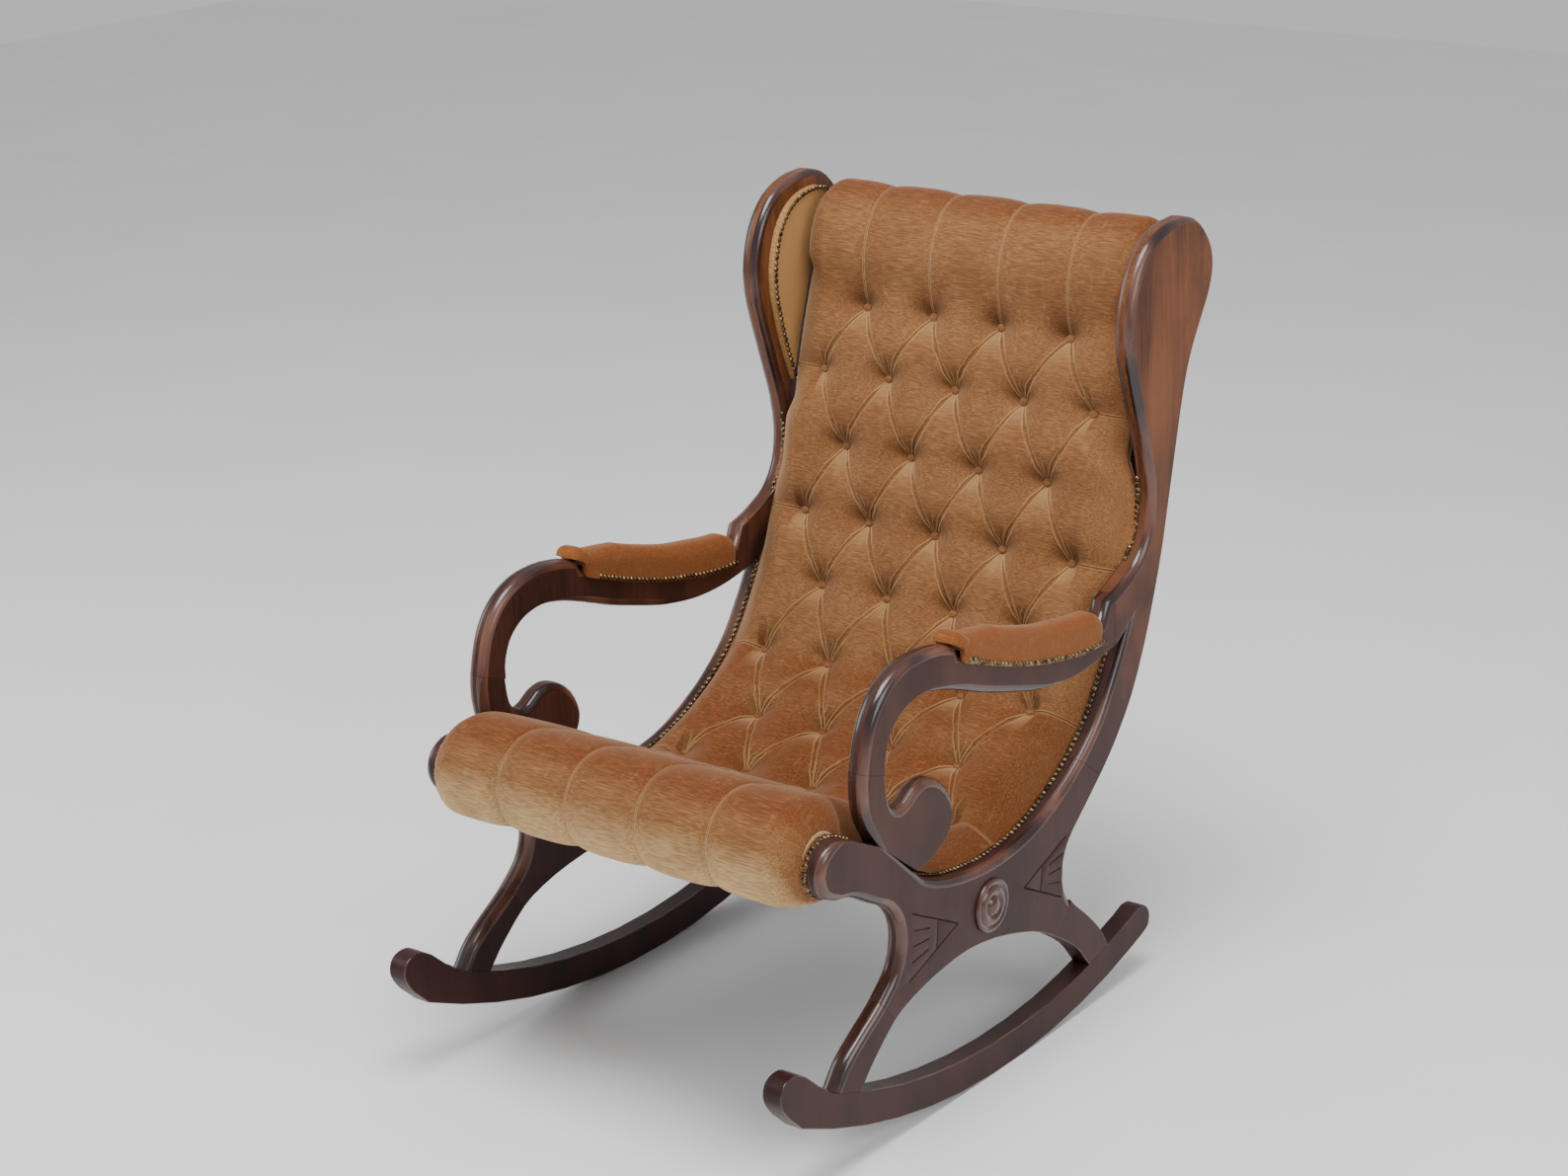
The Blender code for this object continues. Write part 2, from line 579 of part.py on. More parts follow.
def front_roll(name, look):
    """The roll round the front rail, closed behind against the seat padding."""
    here, along, out, height = pad_frame(0)
    crown = here + out * height - along * (GAP / 2)
    low = here - out * PADDING_BASE - along * (GAP / 2)
    centre = at(FRONT_ROLL_CENTRE)
    outline = [crown, at(FRONT_ROLL_BACK[1])]
    for degrees in range(100, 311, 15):
        a = math.radians(degrees)
        outline.append(centre + Vector((math.cos(a), math.sin(a))) * FRONT_ROLL_RADIUS)
    outline.append(low)
    rings = [[(x, p.x, p.y) for p in outline] for x in (-PAD_EDGE, PAD_EDGE)]
    roll = loft(name, rings, look)
    bore_radius = FRONT_ROLL_RADIUS - ROLL_PADDING + GAP
    bore = cylinder(f"{name}_bore", (centre.x, centre.y, 0.0), bore_radius, WIDTH, 16, look)
    cut(roll, bore)
    return roll


def build():
    for old in list(bpy.data.objects):
        bpy.data.objects.remove(old)
    wood = material("stained_wood", WOOD, 0.25)
    wing_wood = material("wing_wood", WING_WOOD, 0.25)
    hidden = material("plain_wood", HIDDEN_WOOD, 0.7)
    velvet = material("velvet", VELVET, 0.85)
    light = material("light_velvet", LIGHT_VELVET, 0.85)
    brass = material("antique_brass", BRASS, 0.4, 1.0)
    web_cloth = material("webbing", WEB_CLOTH, 0.9)
    dust_cloth = material("dust_cloth", DUST_CLOTH, 0.95)

    frames = {}
    for side, prefix in ((1, "left"), (-1, "right")):
        frames[side] = side_frame(side, prefix, wood, wing_wood, velvet, light, brass)

    rails = {"front_seat_rail": (FRONT_SEAT_RAIL, "side_rail"),
             "lumbar_rail": (LUMBAR_RAIL, "stile"), "top_rail": (TOP_RAIL, "stile")}
    for name, ((start, end), board_name) in rails.items():
        rail = pad_sheet(name, start, end, RAIL_FACE, RAIL, PAD_EDGE, hidden)
        _, along, out, _ = pad_frame((start + end) / 2)
        centre = pad_point((start + end) / 2, RAIL_FACE - RAIL / 2)
        for side, prefix in ((1, "left"), (-1, "right")):
            dowel_pair(rail, frames[side][board_name], side, f"{prefix}_{name}", centre, along,
                       hidden)
    centre = at(FRONT_ROLL_CENTRE)
    rail_radius = FRONT_ROLL_RADIUS - ROLL_PADDING
    rail = cylinder("front_rail", (centre.x, centre.y, 0.0), rail_radius, 2 * PAD_EDGE, 16,
                    hidden)
    for side, prefix in ((1, "left"), (-1, "right")):
        dowel(rail, frames[side]["side_rail"], side, f"{prefix}_front_rail", centre,
              2 * DOWEL_RADIUS, hidden)

    narrow = pad_half_width(len(PAD_LINE) - 1)
    front_roll("front_roll_padding", velvet)
    padding("seat_padding", 0, SEAT_END, velvet)
    padding("lumbar_padding", SEAT_END, LUMBAR_END, velvet)
    padding("back_padding", LUMBAR_END, BACK_END, velvet)
    head_roll("head_roll_padding", velvet)
    pad_sheet("seat_webbing", 0, WEBBING_JOINT, WEBBING_TOP, WEBBING, PAD_EDGE, web_cloth)
    pad_sheet("back_webbing", WEBBING_JOINT, WEBBING_END, WEBBING_TOP, WEBBING, narrow, web_cloth)
    pad_sheet("bottom_cloth", 0, WEBBING_JOINT, COVER_TOP, COVER, PAD_EDGE, dust_cloth)
    pad_sheet("outside_back", WEBBING_JOINT, TOP_RAIL[1], COVER_TOP, COVER, narrow, velvet)


build()
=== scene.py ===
import math

import bmesh
import bpy
import numpy as np
from mathutils import Matrix, Vector
from mathutils.bvhtree import BVHTree
from mathutils.geometry import delaunay_2d_cdt


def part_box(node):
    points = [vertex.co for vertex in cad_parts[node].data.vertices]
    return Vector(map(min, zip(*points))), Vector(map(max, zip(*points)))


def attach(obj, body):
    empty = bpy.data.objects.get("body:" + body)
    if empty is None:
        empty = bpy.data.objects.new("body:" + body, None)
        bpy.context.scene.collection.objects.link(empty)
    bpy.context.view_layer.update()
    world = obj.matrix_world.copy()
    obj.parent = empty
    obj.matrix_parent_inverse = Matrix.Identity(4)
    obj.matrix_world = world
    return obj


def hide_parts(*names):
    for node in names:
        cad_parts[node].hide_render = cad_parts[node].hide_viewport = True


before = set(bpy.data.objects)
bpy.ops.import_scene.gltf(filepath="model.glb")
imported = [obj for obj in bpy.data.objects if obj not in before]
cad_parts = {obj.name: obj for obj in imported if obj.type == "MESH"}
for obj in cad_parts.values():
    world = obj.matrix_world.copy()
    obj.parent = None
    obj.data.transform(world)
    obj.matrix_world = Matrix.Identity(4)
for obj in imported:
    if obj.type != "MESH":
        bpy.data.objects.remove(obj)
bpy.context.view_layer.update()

# ---- Studio -----------------------------------------------------------------------------
# A flat pale floor, a broad soft light overhead, a weaker one at each side, and the camera in
# front of the chair's left side.
FLOOR_SIZE = 14.0
SKY_COLOUR = (0.95, 0.95, 0.96, 1.0)
SKY_STRENGTH = 0.62
# each light's place, aim, side, power and colour
LIGHTS = {
    "ceiling": ((0.5, -0.9, 3.9), (0.0, 0.0, 0.4), 1.9, 150.0, (1.0, 0.995, 0.98)),
    "window": ((-3.1, -1.9, 2.2), (0.0, 0.0, 0.5), 2.2, 52.0, (0.97, 0.98, 1.0)),
    "side": ((3.3, -0.4, 2.1), (0.0, 0.0, 0.5), 1.8, 46.0, (1.0, 0.985, 0.96)),
}
CAMERA_PLACE = Vector((2.3090, -3.0442, 1.8709))
CAMERA_AZIMUTH = math.radians(37.583)
CAMERA_ELEVATION = math.radians(18.868)
CAMERA_ROLL = math.radians(-1.519)
LENS = 75.12

bpy.ops.object.select_all(action="DESELECT")
bpy.ops.mesh.primitive_plane_add(size=FLOOR_SIZE, location=(0, 0, 0))
floor = bpy.context.object
floor.name = "floor"
bpy.ops.object.transform_apply(location=True, rotation=True, scale=True)


def new_material(name, colour, roughness, metallic=0.0):
    """A material and the parts of it that the sections add to."""
    made = bpy.data.materials.new(name)
    made.use_nodes = True
    shader = made.node_tree.nodes["Principled BSDF"]
    shader.inputs["Base Color"].default_value = (*colour, 1.0)
    shader.inputs["Roughness"].default_value = roughness
    shader.inputs["Metallic"].default_value = metallic
    return made, made.node_tree, shader


def add(tree, kind, **values):
    """A node with its settings and socket values. A value that is a socket gets linked."""
    made = tree.nodes.new(kind)
    for key, value in values.items():
        if key.startswith("set_"):
            setattr(made, key[4:], value)
            continue
        place = int(key[1:]) if key[0] == "i" and key[1:].isdigit() else key.replace("_", " ")
        socket = made.inputs[place]
        if isinstance(value, bpy.types.NodeSocket):
            tree.links.new(value, socket)
        else:
            socket.default_value = value
    return made


def maths(tree, operation, first, second=0.0):
    """One sum on two values or sockets."""
    return add(tree, "ShaderNodeMath", set_operation=operation, i0=first, i1=second).outputs[0]


def mix_colour(tree, share, low, high):
    """The low colour where share is 0 and the high one where it is 1. Either can be a socket."""
    made = add(tree, "ShaderNodeMix", set_data_type="RGBA", i0=share)
    for place, value in ((6, low), (7, high)):
        if isinstance(value, bpy.types.NodeSocket):
            tree.links.new(value, made.inputs[place])
        else:
            made.inputs[place].default_value = (*value, 1.0)
    return made.outputs[2]


def remap(tree, value, low, high, to_low=0.0, to_high=1.0):
    """A value that eases from to_low to to_high while the one read goes from low to high."""
    made = add(tree, "ShaderNodeMapRange", i0=value, i1=low, i2=high, i3=to_low, i4=to_high,
               set_interpolation_type="SMOOTHSTEP")
    return made.outputs[0]


def stretched_noise(tree, scale, turn, size, detail=4.0):
    """Noise read in the chair's own frame, stretched by scale after a turn about X."""
    place = add(tree, "ShaderNodeTexCoord").outputs["Object"]
    moved = add(tree, "ShaderNodeMapping", Vector=place, Rotation=turn, Scale=scale)
    return add(tree, "ShaderNodeTexNoise", Vector=moved.outputs[0], Scale=size,
               Detail=detail).outputs[0]


floor_paint, tree, shader = new_material("pale_floor", (0.72, 0.72, 0.72), 0.7)
shade = stretched_noise(tree, (1, 1, 1), (0, 0, 0), 3.0)
tree.links.new(mix_colour(tree, shade, (0.80, 0.80, 0.81), (0.88, 0.88, 0.875)),
               shader.inputs["Base Color"])
floor.data.materials.append(floor_paint)

world = bpy.data.worlds.new("studio")
world.use_nodes = True
world.node_tree.nodes["Background"].inputs[0].default_value = SKY_COLOUR
world.node_tree.nodes["Background"].inputs[1].default_value = SKY_STRENGTH
bpy.context.scene.world = world

for name, (place, target, size, power, colour) in LIGHTS.items():
    lamp = bpy.data.lights.new(name, "AREA")
    lamp.size = size
    lamp.energy = power
    lamp.color = colour
    holder = bpy.data.objects.new(name, lamp)
    holder.location = place
    holder.rotation_euler = (Vector(target) - Vector(place)).to_track_quat("-Z", "Y").to_euler()
    bpy.context.scene.collection.objects.link(holder)

ahead = Vector((-math.sin(CAMERA_AZIMUTH) * math.cos(CAMERA_ELEVATION),
                math.cos(CAMERA_AZIMUTH) * math.cos(CAMERA_ELEVATION),
                -math.sin(CAMERA_ELEVATION)))
level = Vector((math.cos(CAMERA_AZIMUTH), math.sin(CAMERA_AZIMUTH), 0))
upright = level.cross(ahead)
right = level * math.cos(CAMERA_ROLL) + upright * math.sin(CAMERA_ROLL)
up = upright * math.cos(CAMERA_ROLL) - level * math.sin(CAMERA_ROLL)
camera = bpy.data.objects.new("camera", bpy.data.cameras.new("camera"))
camera.data.lens = LENS
aim = Matrix((right, up, -ahead)).transposed().to_4x4()
camera.matrix_world = Matrix.Translation(CAMERA_PLACE) @ aim
bpy.context.scene.collection.objects.link(camera)
bpy.context.scene.camera = camera


# ---- Side frame boards ------------------------------------------------------------------
# Each side is band-sawn from seven boards of beech, glued edge to edge, stained like mahogany
# and lacquered. A router rounds the edges that face the sitter, and the rest are only eased.
BOARDS = ("stile", "arm", "arm_scroll", "side_rail", "front_leg", "rear_leg", "runner")
SIDES = {"left": 1, "right": -1}
ROUNDED = 0.0100          # radius of a routed edge
EASED = 0.0014            # radius of an edge that is only sanded
EDGE_STEPS = 5
SEAM_REACH = 0.0007       # an edge this near another board is a glue joint, and stays sharp
WING_FOOT = 0.62          # below this height the inner edges lie against the upholstery
outer_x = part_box("left_stile")[1][0]
inner_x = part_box("left_stile")[0][0]


def pick(piece):
    """Selects one piece and makes it the one that the tools act on."""
    bpy.ops.object.select_all(action="DESELECT")
    piece.select_set(True)
    bpy.context.view_layer.objects.active = piece


def copy_of(node, name):
    """A CAD node's mesh as a new piece, its triangles merged back into faces."""
    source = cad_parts[node]
    made = bpy.data.objects.new(name, source.data.copy())
    made.data.materials.clear()
    bpy.context.scene.collection.objects.link(made)
    pick(made)
    bpy.ops.object.mode_set(mode="EDIT")
    bpy.ops.mesh.select_all(action="SELECT")
    bpy.ops.mesh.remove_doubles(threshold=0.00002)
    bpy.ops.mesh.dissolve_limited(angle_limit=math.radians(0.5))
    bpy.ops.mesh.normals_make_consistent(inside=False)
    bpy.ops.object.mode_set(mode="OBJECT")
    return made


def round_edges(piece, weights, radius, look=-1):
    """Rounds each edge to its weight's share of the radius. The rounding can have a look of its
    own, as a material's place on the piece."""
    held = piece.data.attributes.new("bevel_weight_edge", "FLOAT", "EDGE")
    held.data.foreach_set("value", weights)
    pick(piece)
    bevel = piece.modifiers.new("round", "BEVEL")
    bevel.limit_method = "WEIGHT"
    bevel.width = radius
    bevel.segments = EDGE_STEPS
    bevel.use_clamp_overlap = False
    bevel.material = look
    bpy.ops.object.modifier_apply(modifier="round")


def lacquered_wood(name, dark, light, turn, coat=0.05, rough=0.42, low_colours=None):
    """Stained grain that runs along Z after the turn, under a thin coat of lacquer. The low
    colours are a second pair, which the first pair turns into towards the floor, so that the
    board is darker towards the bottom."""
    made, tree, shader = new_material(name, dark, rough)
    broad = stretched_noise(tree, (10, 10, 1.2), turn, 1.6, 3.0)
    fine = stretched_noise(tree, (60, 60, 2.2), turn, 5.0, 6.0)
    pores = stretched_noise(tree, (240, 240, 9.0), turn, 4.0, 2.0)
    share = maths(tree, "ADD", maths(tree, "MULTIPLY", remap(tree, broad, 0.35, 0.68), 0.65),
                  maths(tree, "MULTIPLY", remap(tree, fine, 0.4, 0.62), 0.35))
    grain = mix_colour(tree, share, dark, light)
    if low_colours:
        place = add(tree, "ShaderNodeTexCoord").outputs["Object"]
        height = add(tree, "ShaderNodeSeparateXYZ", i0=place).outputs[2]
        grain = mix_colour(tree, remap(tree, height, 0.48, 0.78),
                           mix_colour(tree, share, *low_colours), grain)
    blotches = stretched_noise(tree, (1, 1, 1), (0, 0, 0), 8.0, 4.0)
    grain = mix_colour(tree, remap(tree, blotches, 0.42, 0.70, 0.0, 0.38), grain,
                       tuple(min(1, c * 1.3) for c in light))
    pored = mix_colour(tree, remap(tree, pores, 0.58, 0.70, 0.0, 0.35), grain,
                       tuple(c * 0.35 for c in dark))
    tree.links.new(pored, shader.inputs["Base Color"])
    tree.links.new(remap(tree, fine, 0.3, 0.7, rough - 0.05, rough + 0.08),
                   shader.inputs["Roughness"])
    shader.inputs["Coat Weight"].default_value = coat
    shader.inputs["Coat Roughness"].default_value = 0.20
    shader.inputs["Specular IOR Level"].default_value = 0.20
    bump = add(tree, "ShaderNodeBump", Strength=0.12, Distance=0.0004, Height=pores)
    tree.links.new(bump.outputs[0], shader.inputs["Normal"])
    return made


UPRIGHT = (math.radians(-14), 0, 0)
LEVEL = (math.radians(80), 0, 0)
LEANING = (math.radians(40), 0, 0)
RAIL_STAIN = ((0.024, 0.0085, 0.0075), (0.056, 0.0205, 0.0165))
FACE_WOODS = {
    # the stile turns into the rail's darker colours towards the floor
    "stile": lacquered_wood("stile_wood", (0.050, 0.016, 0.008), (0.190, 0.066, 0.024), UPRIGHT,
                            low_colours=RAIL_STAIN),
    "arm": lacquered_wood("arm_wood", (0.026, 0.009, 0.007), (0.066, 0.022, 0.015), LEVEL),
    "arm_scroll": lacquered_wood("scroll_wood", (0.028, 0.011, 0.008), (0.068, 0.026, 0.018),
                                 LEANING),
    "side_rail": lacquered_wood("rail_wood", *RAIL_STAIN, LEVEL),
    "front_leg": lacquered_wood("leg_wood", (0.017, 0.006, 0.005), (0.044, 0.015, 0.010),
                                LEANING),
    "rear_leg": lacquered_wood("rear_leg_wood", (0.022, 0.0085, 0.007), (0.050, 0.018, 0.014),
                               (math.radians(-40), 0, 0)),
    "runner": lacquered_wood("runner_wood", (0.017, 0.005, 0.005), (0.042, 0.013, 0.010), LEVEL),
}


def worn_edge_wood():
    """The moulded edges: stain so thick that it is nearly black, rubbed through in patches."""
    made, tree, shader = new_material("moulded_edge", (0.012, 0.004, 0.005), 0.24)
    patches = stretched_noise(tree, (1, 1, 1), (0, 0, 0), 7.0, 2.0)
    scuffs = stretched_noise(tree, (6, 1, 1), (0, 0, 0), 24.0, 3.0)
    rubbed = maths(tree, "MULTIPLY", remap(tree, patches, 0.38, 0.66),
                   remap(tree, scuffs, 0.20, 0.80, 0.3, 1.0))
    tree.links.new(mix_colour(tree, rubbed, (0.016, 0.005, 0.006), (0.165, 0.062, 0.036)),
                   shader.inputs["Base Color"])
    tree.links.new(remap(tree, rubbed, 0.0, 1.0, 0.22, 0.42), shader.inputs["Roughness"])
    shader.inputs["Coat Weight"].default_value = 0.25
    shader.inputs["Coat Roughness"].default_value = 0.16
    return made


edge_wood = worn_edge_wood()


def edge_weight(part, normal, middle):
    """How round an edge is, as a share of ROUNDED, from the way its wall faces."""
    eased = EASED / ROUNDED
    inner_side = abs(middle.x) < (inner_x + outer_x) / 2
    facing = normal.y
    rising = normal.z
    if part in ("runner", "rear_leg"):
        return eased
    if part == "stile":
        if inner_side and middle.z < WING_FOOT:
            return eased
        return 1.0 if facing < 0.2 else eased
    if part == "side_rail" and middle.y > -0.2:
        return 1.0 if rising > 0.2 and not inner_side else eased
    if part == "arm" and inner_side and middle.y > 0.20:
        return eased
    if part in ("arm", "arm_scroll") and rising > 0.3:
        return 1.0
    return 1.0 if facing < -0.2 else eased


def refill(piece):
    """Fills the broad faces with triangles again. In a tight corner the rounding makes their
    outline cross itself, and a face of many sides then turns over in places."""
    work = bmesh.new()
    work.from_mesh(piece.data)
    broad = [f for f in work.faces if abs(f.normal.x) > 0.99 and len(f.verts) > 8]
    for face in broad:
        corners = list(face.verts)
        outline = [Vector((v.co.y, v.co.z)) for v in corners]
        filled = delaunay_2d_cdt(outline, [], [list(range(len(corners)))], 1, 0.000001)
        points = []
        for place, sources in zip(filled[0], filled[3]):
            if sources:
                points.append(corners[sources[0]])
            else:
                points.append(work.verts.new((corners[0].co.x, place.x, place.y)))
        for triangle in filled[2]:
            order = triangle if face.normal.x > 0 else reversed(triangle)
            ends = [points[i] for i in order]
            if len(set(ends)) == 3:
                work.faces.new(ends, face)
    bmesh.ops.delete(work, geom=broad, context="FACES_ONLY")
    work.to_mesh(piece.data)
    work.free()


def round_board(piece, part, side, others):
    """Rounds the long edges of a board, except where it is glued to one of the others."""
    mesh = piece.data
    edge_faces = {key: [] for key in mesh.edge_keys}
    for face in mesh.polygons:
        for key in face.edge_keys:
            edge_faces[key].append(face)
    weights = np.zeros(len(mesh.edges))
    edges_at = {}
    for i, edge in enumerate(mesh.edges):
        faces = edge_faces[tuple(sorted(edge.vertices))]
        flat = [f for f in faces if abs(f.normal.x) > 0.99]
        wall = [f for f in faces if abs(f.normal.x) < 0.01]
        if len(flat) != 1 or len(wall) != 1:
            continue
        middle = (mesh.vertices[edge.vertices[0]].co + mesh.vertices[edge.vertices[1]].co) / 2
        spread = [mesh.vertices[v].co.x for v in wall[0].vertices]
        if max(spread) - min(spread) < (outer_x - inner_x) * 0.9:
            continue
        centre = Vector((side * (inner_x + outer_x) / 2, middle.y, middle.z))
        if others.find_nearest(centre, SEAM_REACH)[0] is not None:
            continue
        weights[i] = edge_weight(part, wall[0].normal, middle)
        for v in edge.vertices:
            edges_at.setdefault(v, []).append(i)
    # where two kinds of edge meet, one runs into the other
    for _ in range(3):
        smooth = weights.copy()
        for i in np.nonzero(weights)[0]:
            linked = {j for v in mesh.edges[i].vertices for j in edges_at[v]}
            smooth[i] = np.mean([weights[j] for j in linked])
        weights = smooth
    round_edges(piece, weights, ROUNDED, look=1)
    refill(piece)
    bpy.ops.object.shade_smooth_by_angle(angle=math.radians(32))
    flatten = piece.modifiers.new("flat faces", "WEIGHTED_NORMAL")
    flatten.keep_sharp = True
    bpy.ops.object.modifier_apply(modifier="flat faces")


for prefix, side in SIDES.items():
    copies = {part: copy_of(f"{prefix}_{part}", f"{prefix}_{part}_board") for part in BOARDS}
    shapes = {}
    for part, piece in copies.items():
        points = [v.co.copy() for v in piece.data.vertices]
        shapes[part] = (points, [tuple(f.vertices) for f in piece.data.polygons])
    for part, piece in copies.items():
        points = []
        faces = []
        for other, (corners, loops) in shapes.items():
            if other == part:
                continue
            base = len(points)
            points += corners
            faces += [tuple(i + base for i in loop) for loop in loops]
        piece.data.materials.append(FACE_WOODS[part])
        piece.data.materials.append(edge_wood)
        round_board(piece, part, side, BVHTree.FromPolygons(points, faces))
        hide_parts(f"{prefix}_{part}")
        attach(piece, "root")


# ---- Rosettes ---------------------------------------------------------------------------
# A boss on each hub, turned from the same beech with two beads round a centre button, and
# pinned over the crossing of the legs.
# each turned ring, as shares of the boss's radius and height
ROSETTE_RINGS = [(1.00, 0.0), (1.00, 0.30), (0.96, 0.44), (0.90, 0.50), (0.84, 0.46),
                 (0.79, 0.34), (0.76, 0.30), (0.70, 0.52), (0.63, 0.66), (0.54, 0.68),
                 (0.46, 0.58), (0.41, 0.42), (0.38, 0.38), (0.34, 0.56), (0.26, 0.80),
                 (0.14, 0.96), (0.05, 1.0)]
rosette_wood = lacquered_wood("rosette_wood", (0.024, 0.009, 0.008), (0.090, 0.030, 0.020), LEVEL,
                              coat=0.8, rough=0.26)
for prefix, side in SIDES.items():
    low, high = (Vector(corner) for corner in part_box(f"{prefix}_rosette"))
    middle = (low + high) / 2
    radius = (high.z - low.z) / 2
    back = low.x if side > 0 else high.x
    rise = (high.x - low.x) * side
    bpy.ops.object.select_all(action="DESELECT")
    bpy.ops.mesh.primitive_circle_add(vertices=72, radius=radius, fill_type="NGON",
                                      location=(back, middle.y, middle.z),
                                      rotation=(0, side * math.pi / 2, 0))
    boss = bpy.context.object
    boss.name = f"{prefix}_rosette_boss"
    bpy.ops.object.transform_apply(location=True, rotation=True, scale=True)
    bpy.ops.object.mode_set(mode="EDIT")
    bpy.ops.mesh.select_all(action="SELECT")
    last_share, last_height = ROSETTE_RINGS[0]
    for share, height in ROSETTE_RINGS[1:]:
        bpy.ops.mesh.extrude_region_move(
            TRANSFORM_OT_translate={"value": (rise * (height - last_height), 0, 0)})
        scale = share / last_share
        bpy.ops.transform.resize(value=(1, scale, scale),
                                 center_override=(back, middle.y, middle.z))
        last_share = share
        last_height = height
    bpy.ops.mesh.select_all(action="SELECT")
    bpy.ops.mesh.normals_make_consistent(inside=False)
    bpy.ops.object.mode_set(mode="OBJECT")
    bpy.ops.object.shade_smooth_by_angle(angle=math.radians(50))
    boss.data.materials.append(rosette_wood)
    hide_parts(f"{prefix}_rosette")
    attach(boss, "root")


# ---- Tufted cover -----------------------------------------------------------------------
# One run of gold-brown velvet over horsehair, from under the front roll to behind the head
# roll. Eight rows of buttons are pulled down through it, and the cloth is pleated between them.
PADDING = 0.034
# the frame's edge that the padding lies along, with the padding's height there over PADDING
PAD_LINE = [(-0.285, 0.366, 2.05), (-0.235, 0.345, 1.85), (-0.192, 0.3275, 1.60),
            (-0.130, 0.297, 1.28), (-0.075, 0.286, 1.00), (-0.020, 0.283, 1.00),
            (0.045, 0.292, 1.12), (0.105, 0.315, 1.18), (0.160, 0.348, 1.15),
            (0.205, 0.389, 1.08), (0.240, 0.440, 1.00), (0.268, 0.492, 1.00),
            (0.283, 0.530, 1.00), (0.296, 0.570, 0.98), (0.307, 0.613, 0.97),
            (0.318, 0.660, 0.97), (0.334, 0.720, 0.95), (0.352, 0.780, 0.92),
            (0.372, 0.840, 0.90)]
# the outlines of the velvet round the two rolls, and of the side rail's knob at the front one
ROLL_FRONT = [(-0.340, 0.330), (-0.368, 0.334), (-0.393, 0.345), (-0.408, 0.368),
              (-0.413, 0.393), (-0.407, 0.420), (-0.390, 0.442), (-0.362, 0.455),
              (-0.328, 0.4555), (-0.290, 0.442)]
ROLL_TOP = [(0.345, 0.866), (0.347, 0.902), (0.360, 0.938), (0.381, 0.964), (0.413, 0.977),
            (0.440, 0.970), (0.456, 0.948), (0.4615, 0.918), (0.4595, 0.895)]
KNOB = [(-0.274, 0.390), (-0.300, 0.402), (-0.325, 0.414), (-0.350, 0.419), (-0.373, 0.408),
        (-0.382, 0.385), (-0.373, 0.361), (-0.350, 0.348), (-0.320, 0.341)]
BUTTON_SPACING = 0.105
# a point over each row of buttons, from the head down
ROWS = [(0.357, 0.824), (0.332, 0.738), (0.3055, 0.648), (0.2867, 0.5537), (0.2473, 0.4666),
        (0.1777, 0.3925), (0.0965, 0.3377), (0.002, 0.290)]
ROLL_SEAM = (-0.100, 0.325)
ROW_SPACING = 0.09        # taken past the first row and the last one
PIT = 0.024               # depth of the pit round a button
PIT_REACH = 0.0270        # the pit's reach across, up and down from its button
PIT_REACH_UP = 0.0180
PIT_REACH_DOWN = 0.0225
CROWN = 0.0035            # how much higher the stuffing stands between the pleats
CROWN_REACH = 0.044
FOLD = 0.0030             # depth of a pleat, of a channel on the seat and of one on the head roll
CHANNEL = 0.0026
HEAD_CHANNEL = 0.0013
FOLD_WIDTH = 0.0048
FOLD_FLARE = 0.0040       # how much wider and how deep a pleat gets beside its button
FOLD_PULL = 0.013
PULL_REACH = 0.017
BLEND = 4                 # the power that runs pits and pleats into one another
GATHER = 0.0011           # height of the gathers at the ends of the front roll
CLEARANCE = 0.0012        # between the velvet and the wood
NARROWER = 0.0118         # the back is narrower than the seat, to clear the wing pads
EDGE_ROUND = 0.052        # how far in from its side the cover starts to turn down
FRONT_END_ROUND = 0.040
HEAD_END_ROUND = 0.036
HEAD_END_DROP = 0.040
LAP = 0.0068              # how far the cover laps over the frame, under its nails
BASE = 0.006              # thickness of the stuffing below the edge of the frame
ROLL_BASE = 0.008
STEP = 0.0028             # spacing of the cover's rows and columns
SIDE_COLUMNS = 20
UNDER_COLUMNS = 10
CURVE_STEPS = 24


def smooth_curve(points):
    """Points close together on the smooth curve through the given ones."""
    places = [Vector(p[:2]) for p in points]
    run = []
    for i in range(len(places) - 1):
        p1 = places[i]
        p2 = places[i + 1]
        p0 = places[i - 1] if i else p1 * 2 - p2
        p3 = places[i + 2] if i + 2 < len(places) else p2 * 2 - p1
        for k in range(CURVE_STEPS):
            t = k / CURVE_STEPS
            run.append(0.5 * (2 * p1 + (p2 - p0) * t + (2 * p0 - 5 * p1 + 4 * p2 - p3) * t * t
                              + (3 * p1 - p0 - 3 * p2 + p3) * t ** 3))
    run.append(places[-1])
    return run


def even_points(points, spacing):
    """The same curve at an even spacing: its places, its leftward normals, and the way along it
    to each place."""
    run = np.array([tuple(p) for p in points])
    reach = np.concatenate([[0], np.cumsum(np.hypot(*np.diff(run, axis=0).T))])
    count = max(2, int(round(reach[-1] / spacing)) + 1)
    at = np.linspace(0, reach[-1], count)
    even = np.stack([np.interp(at, reach, run[:, 0]), np.interp(at, reach, run[:, 1])], axis=1)
    ahead = np.gradient(even, axis=0)
    ahead /= np.hypot(*ahead.T)[:, None]
    return even, np.stack([-ahead[:, 1], ahead[:, 0]], axis=1), at


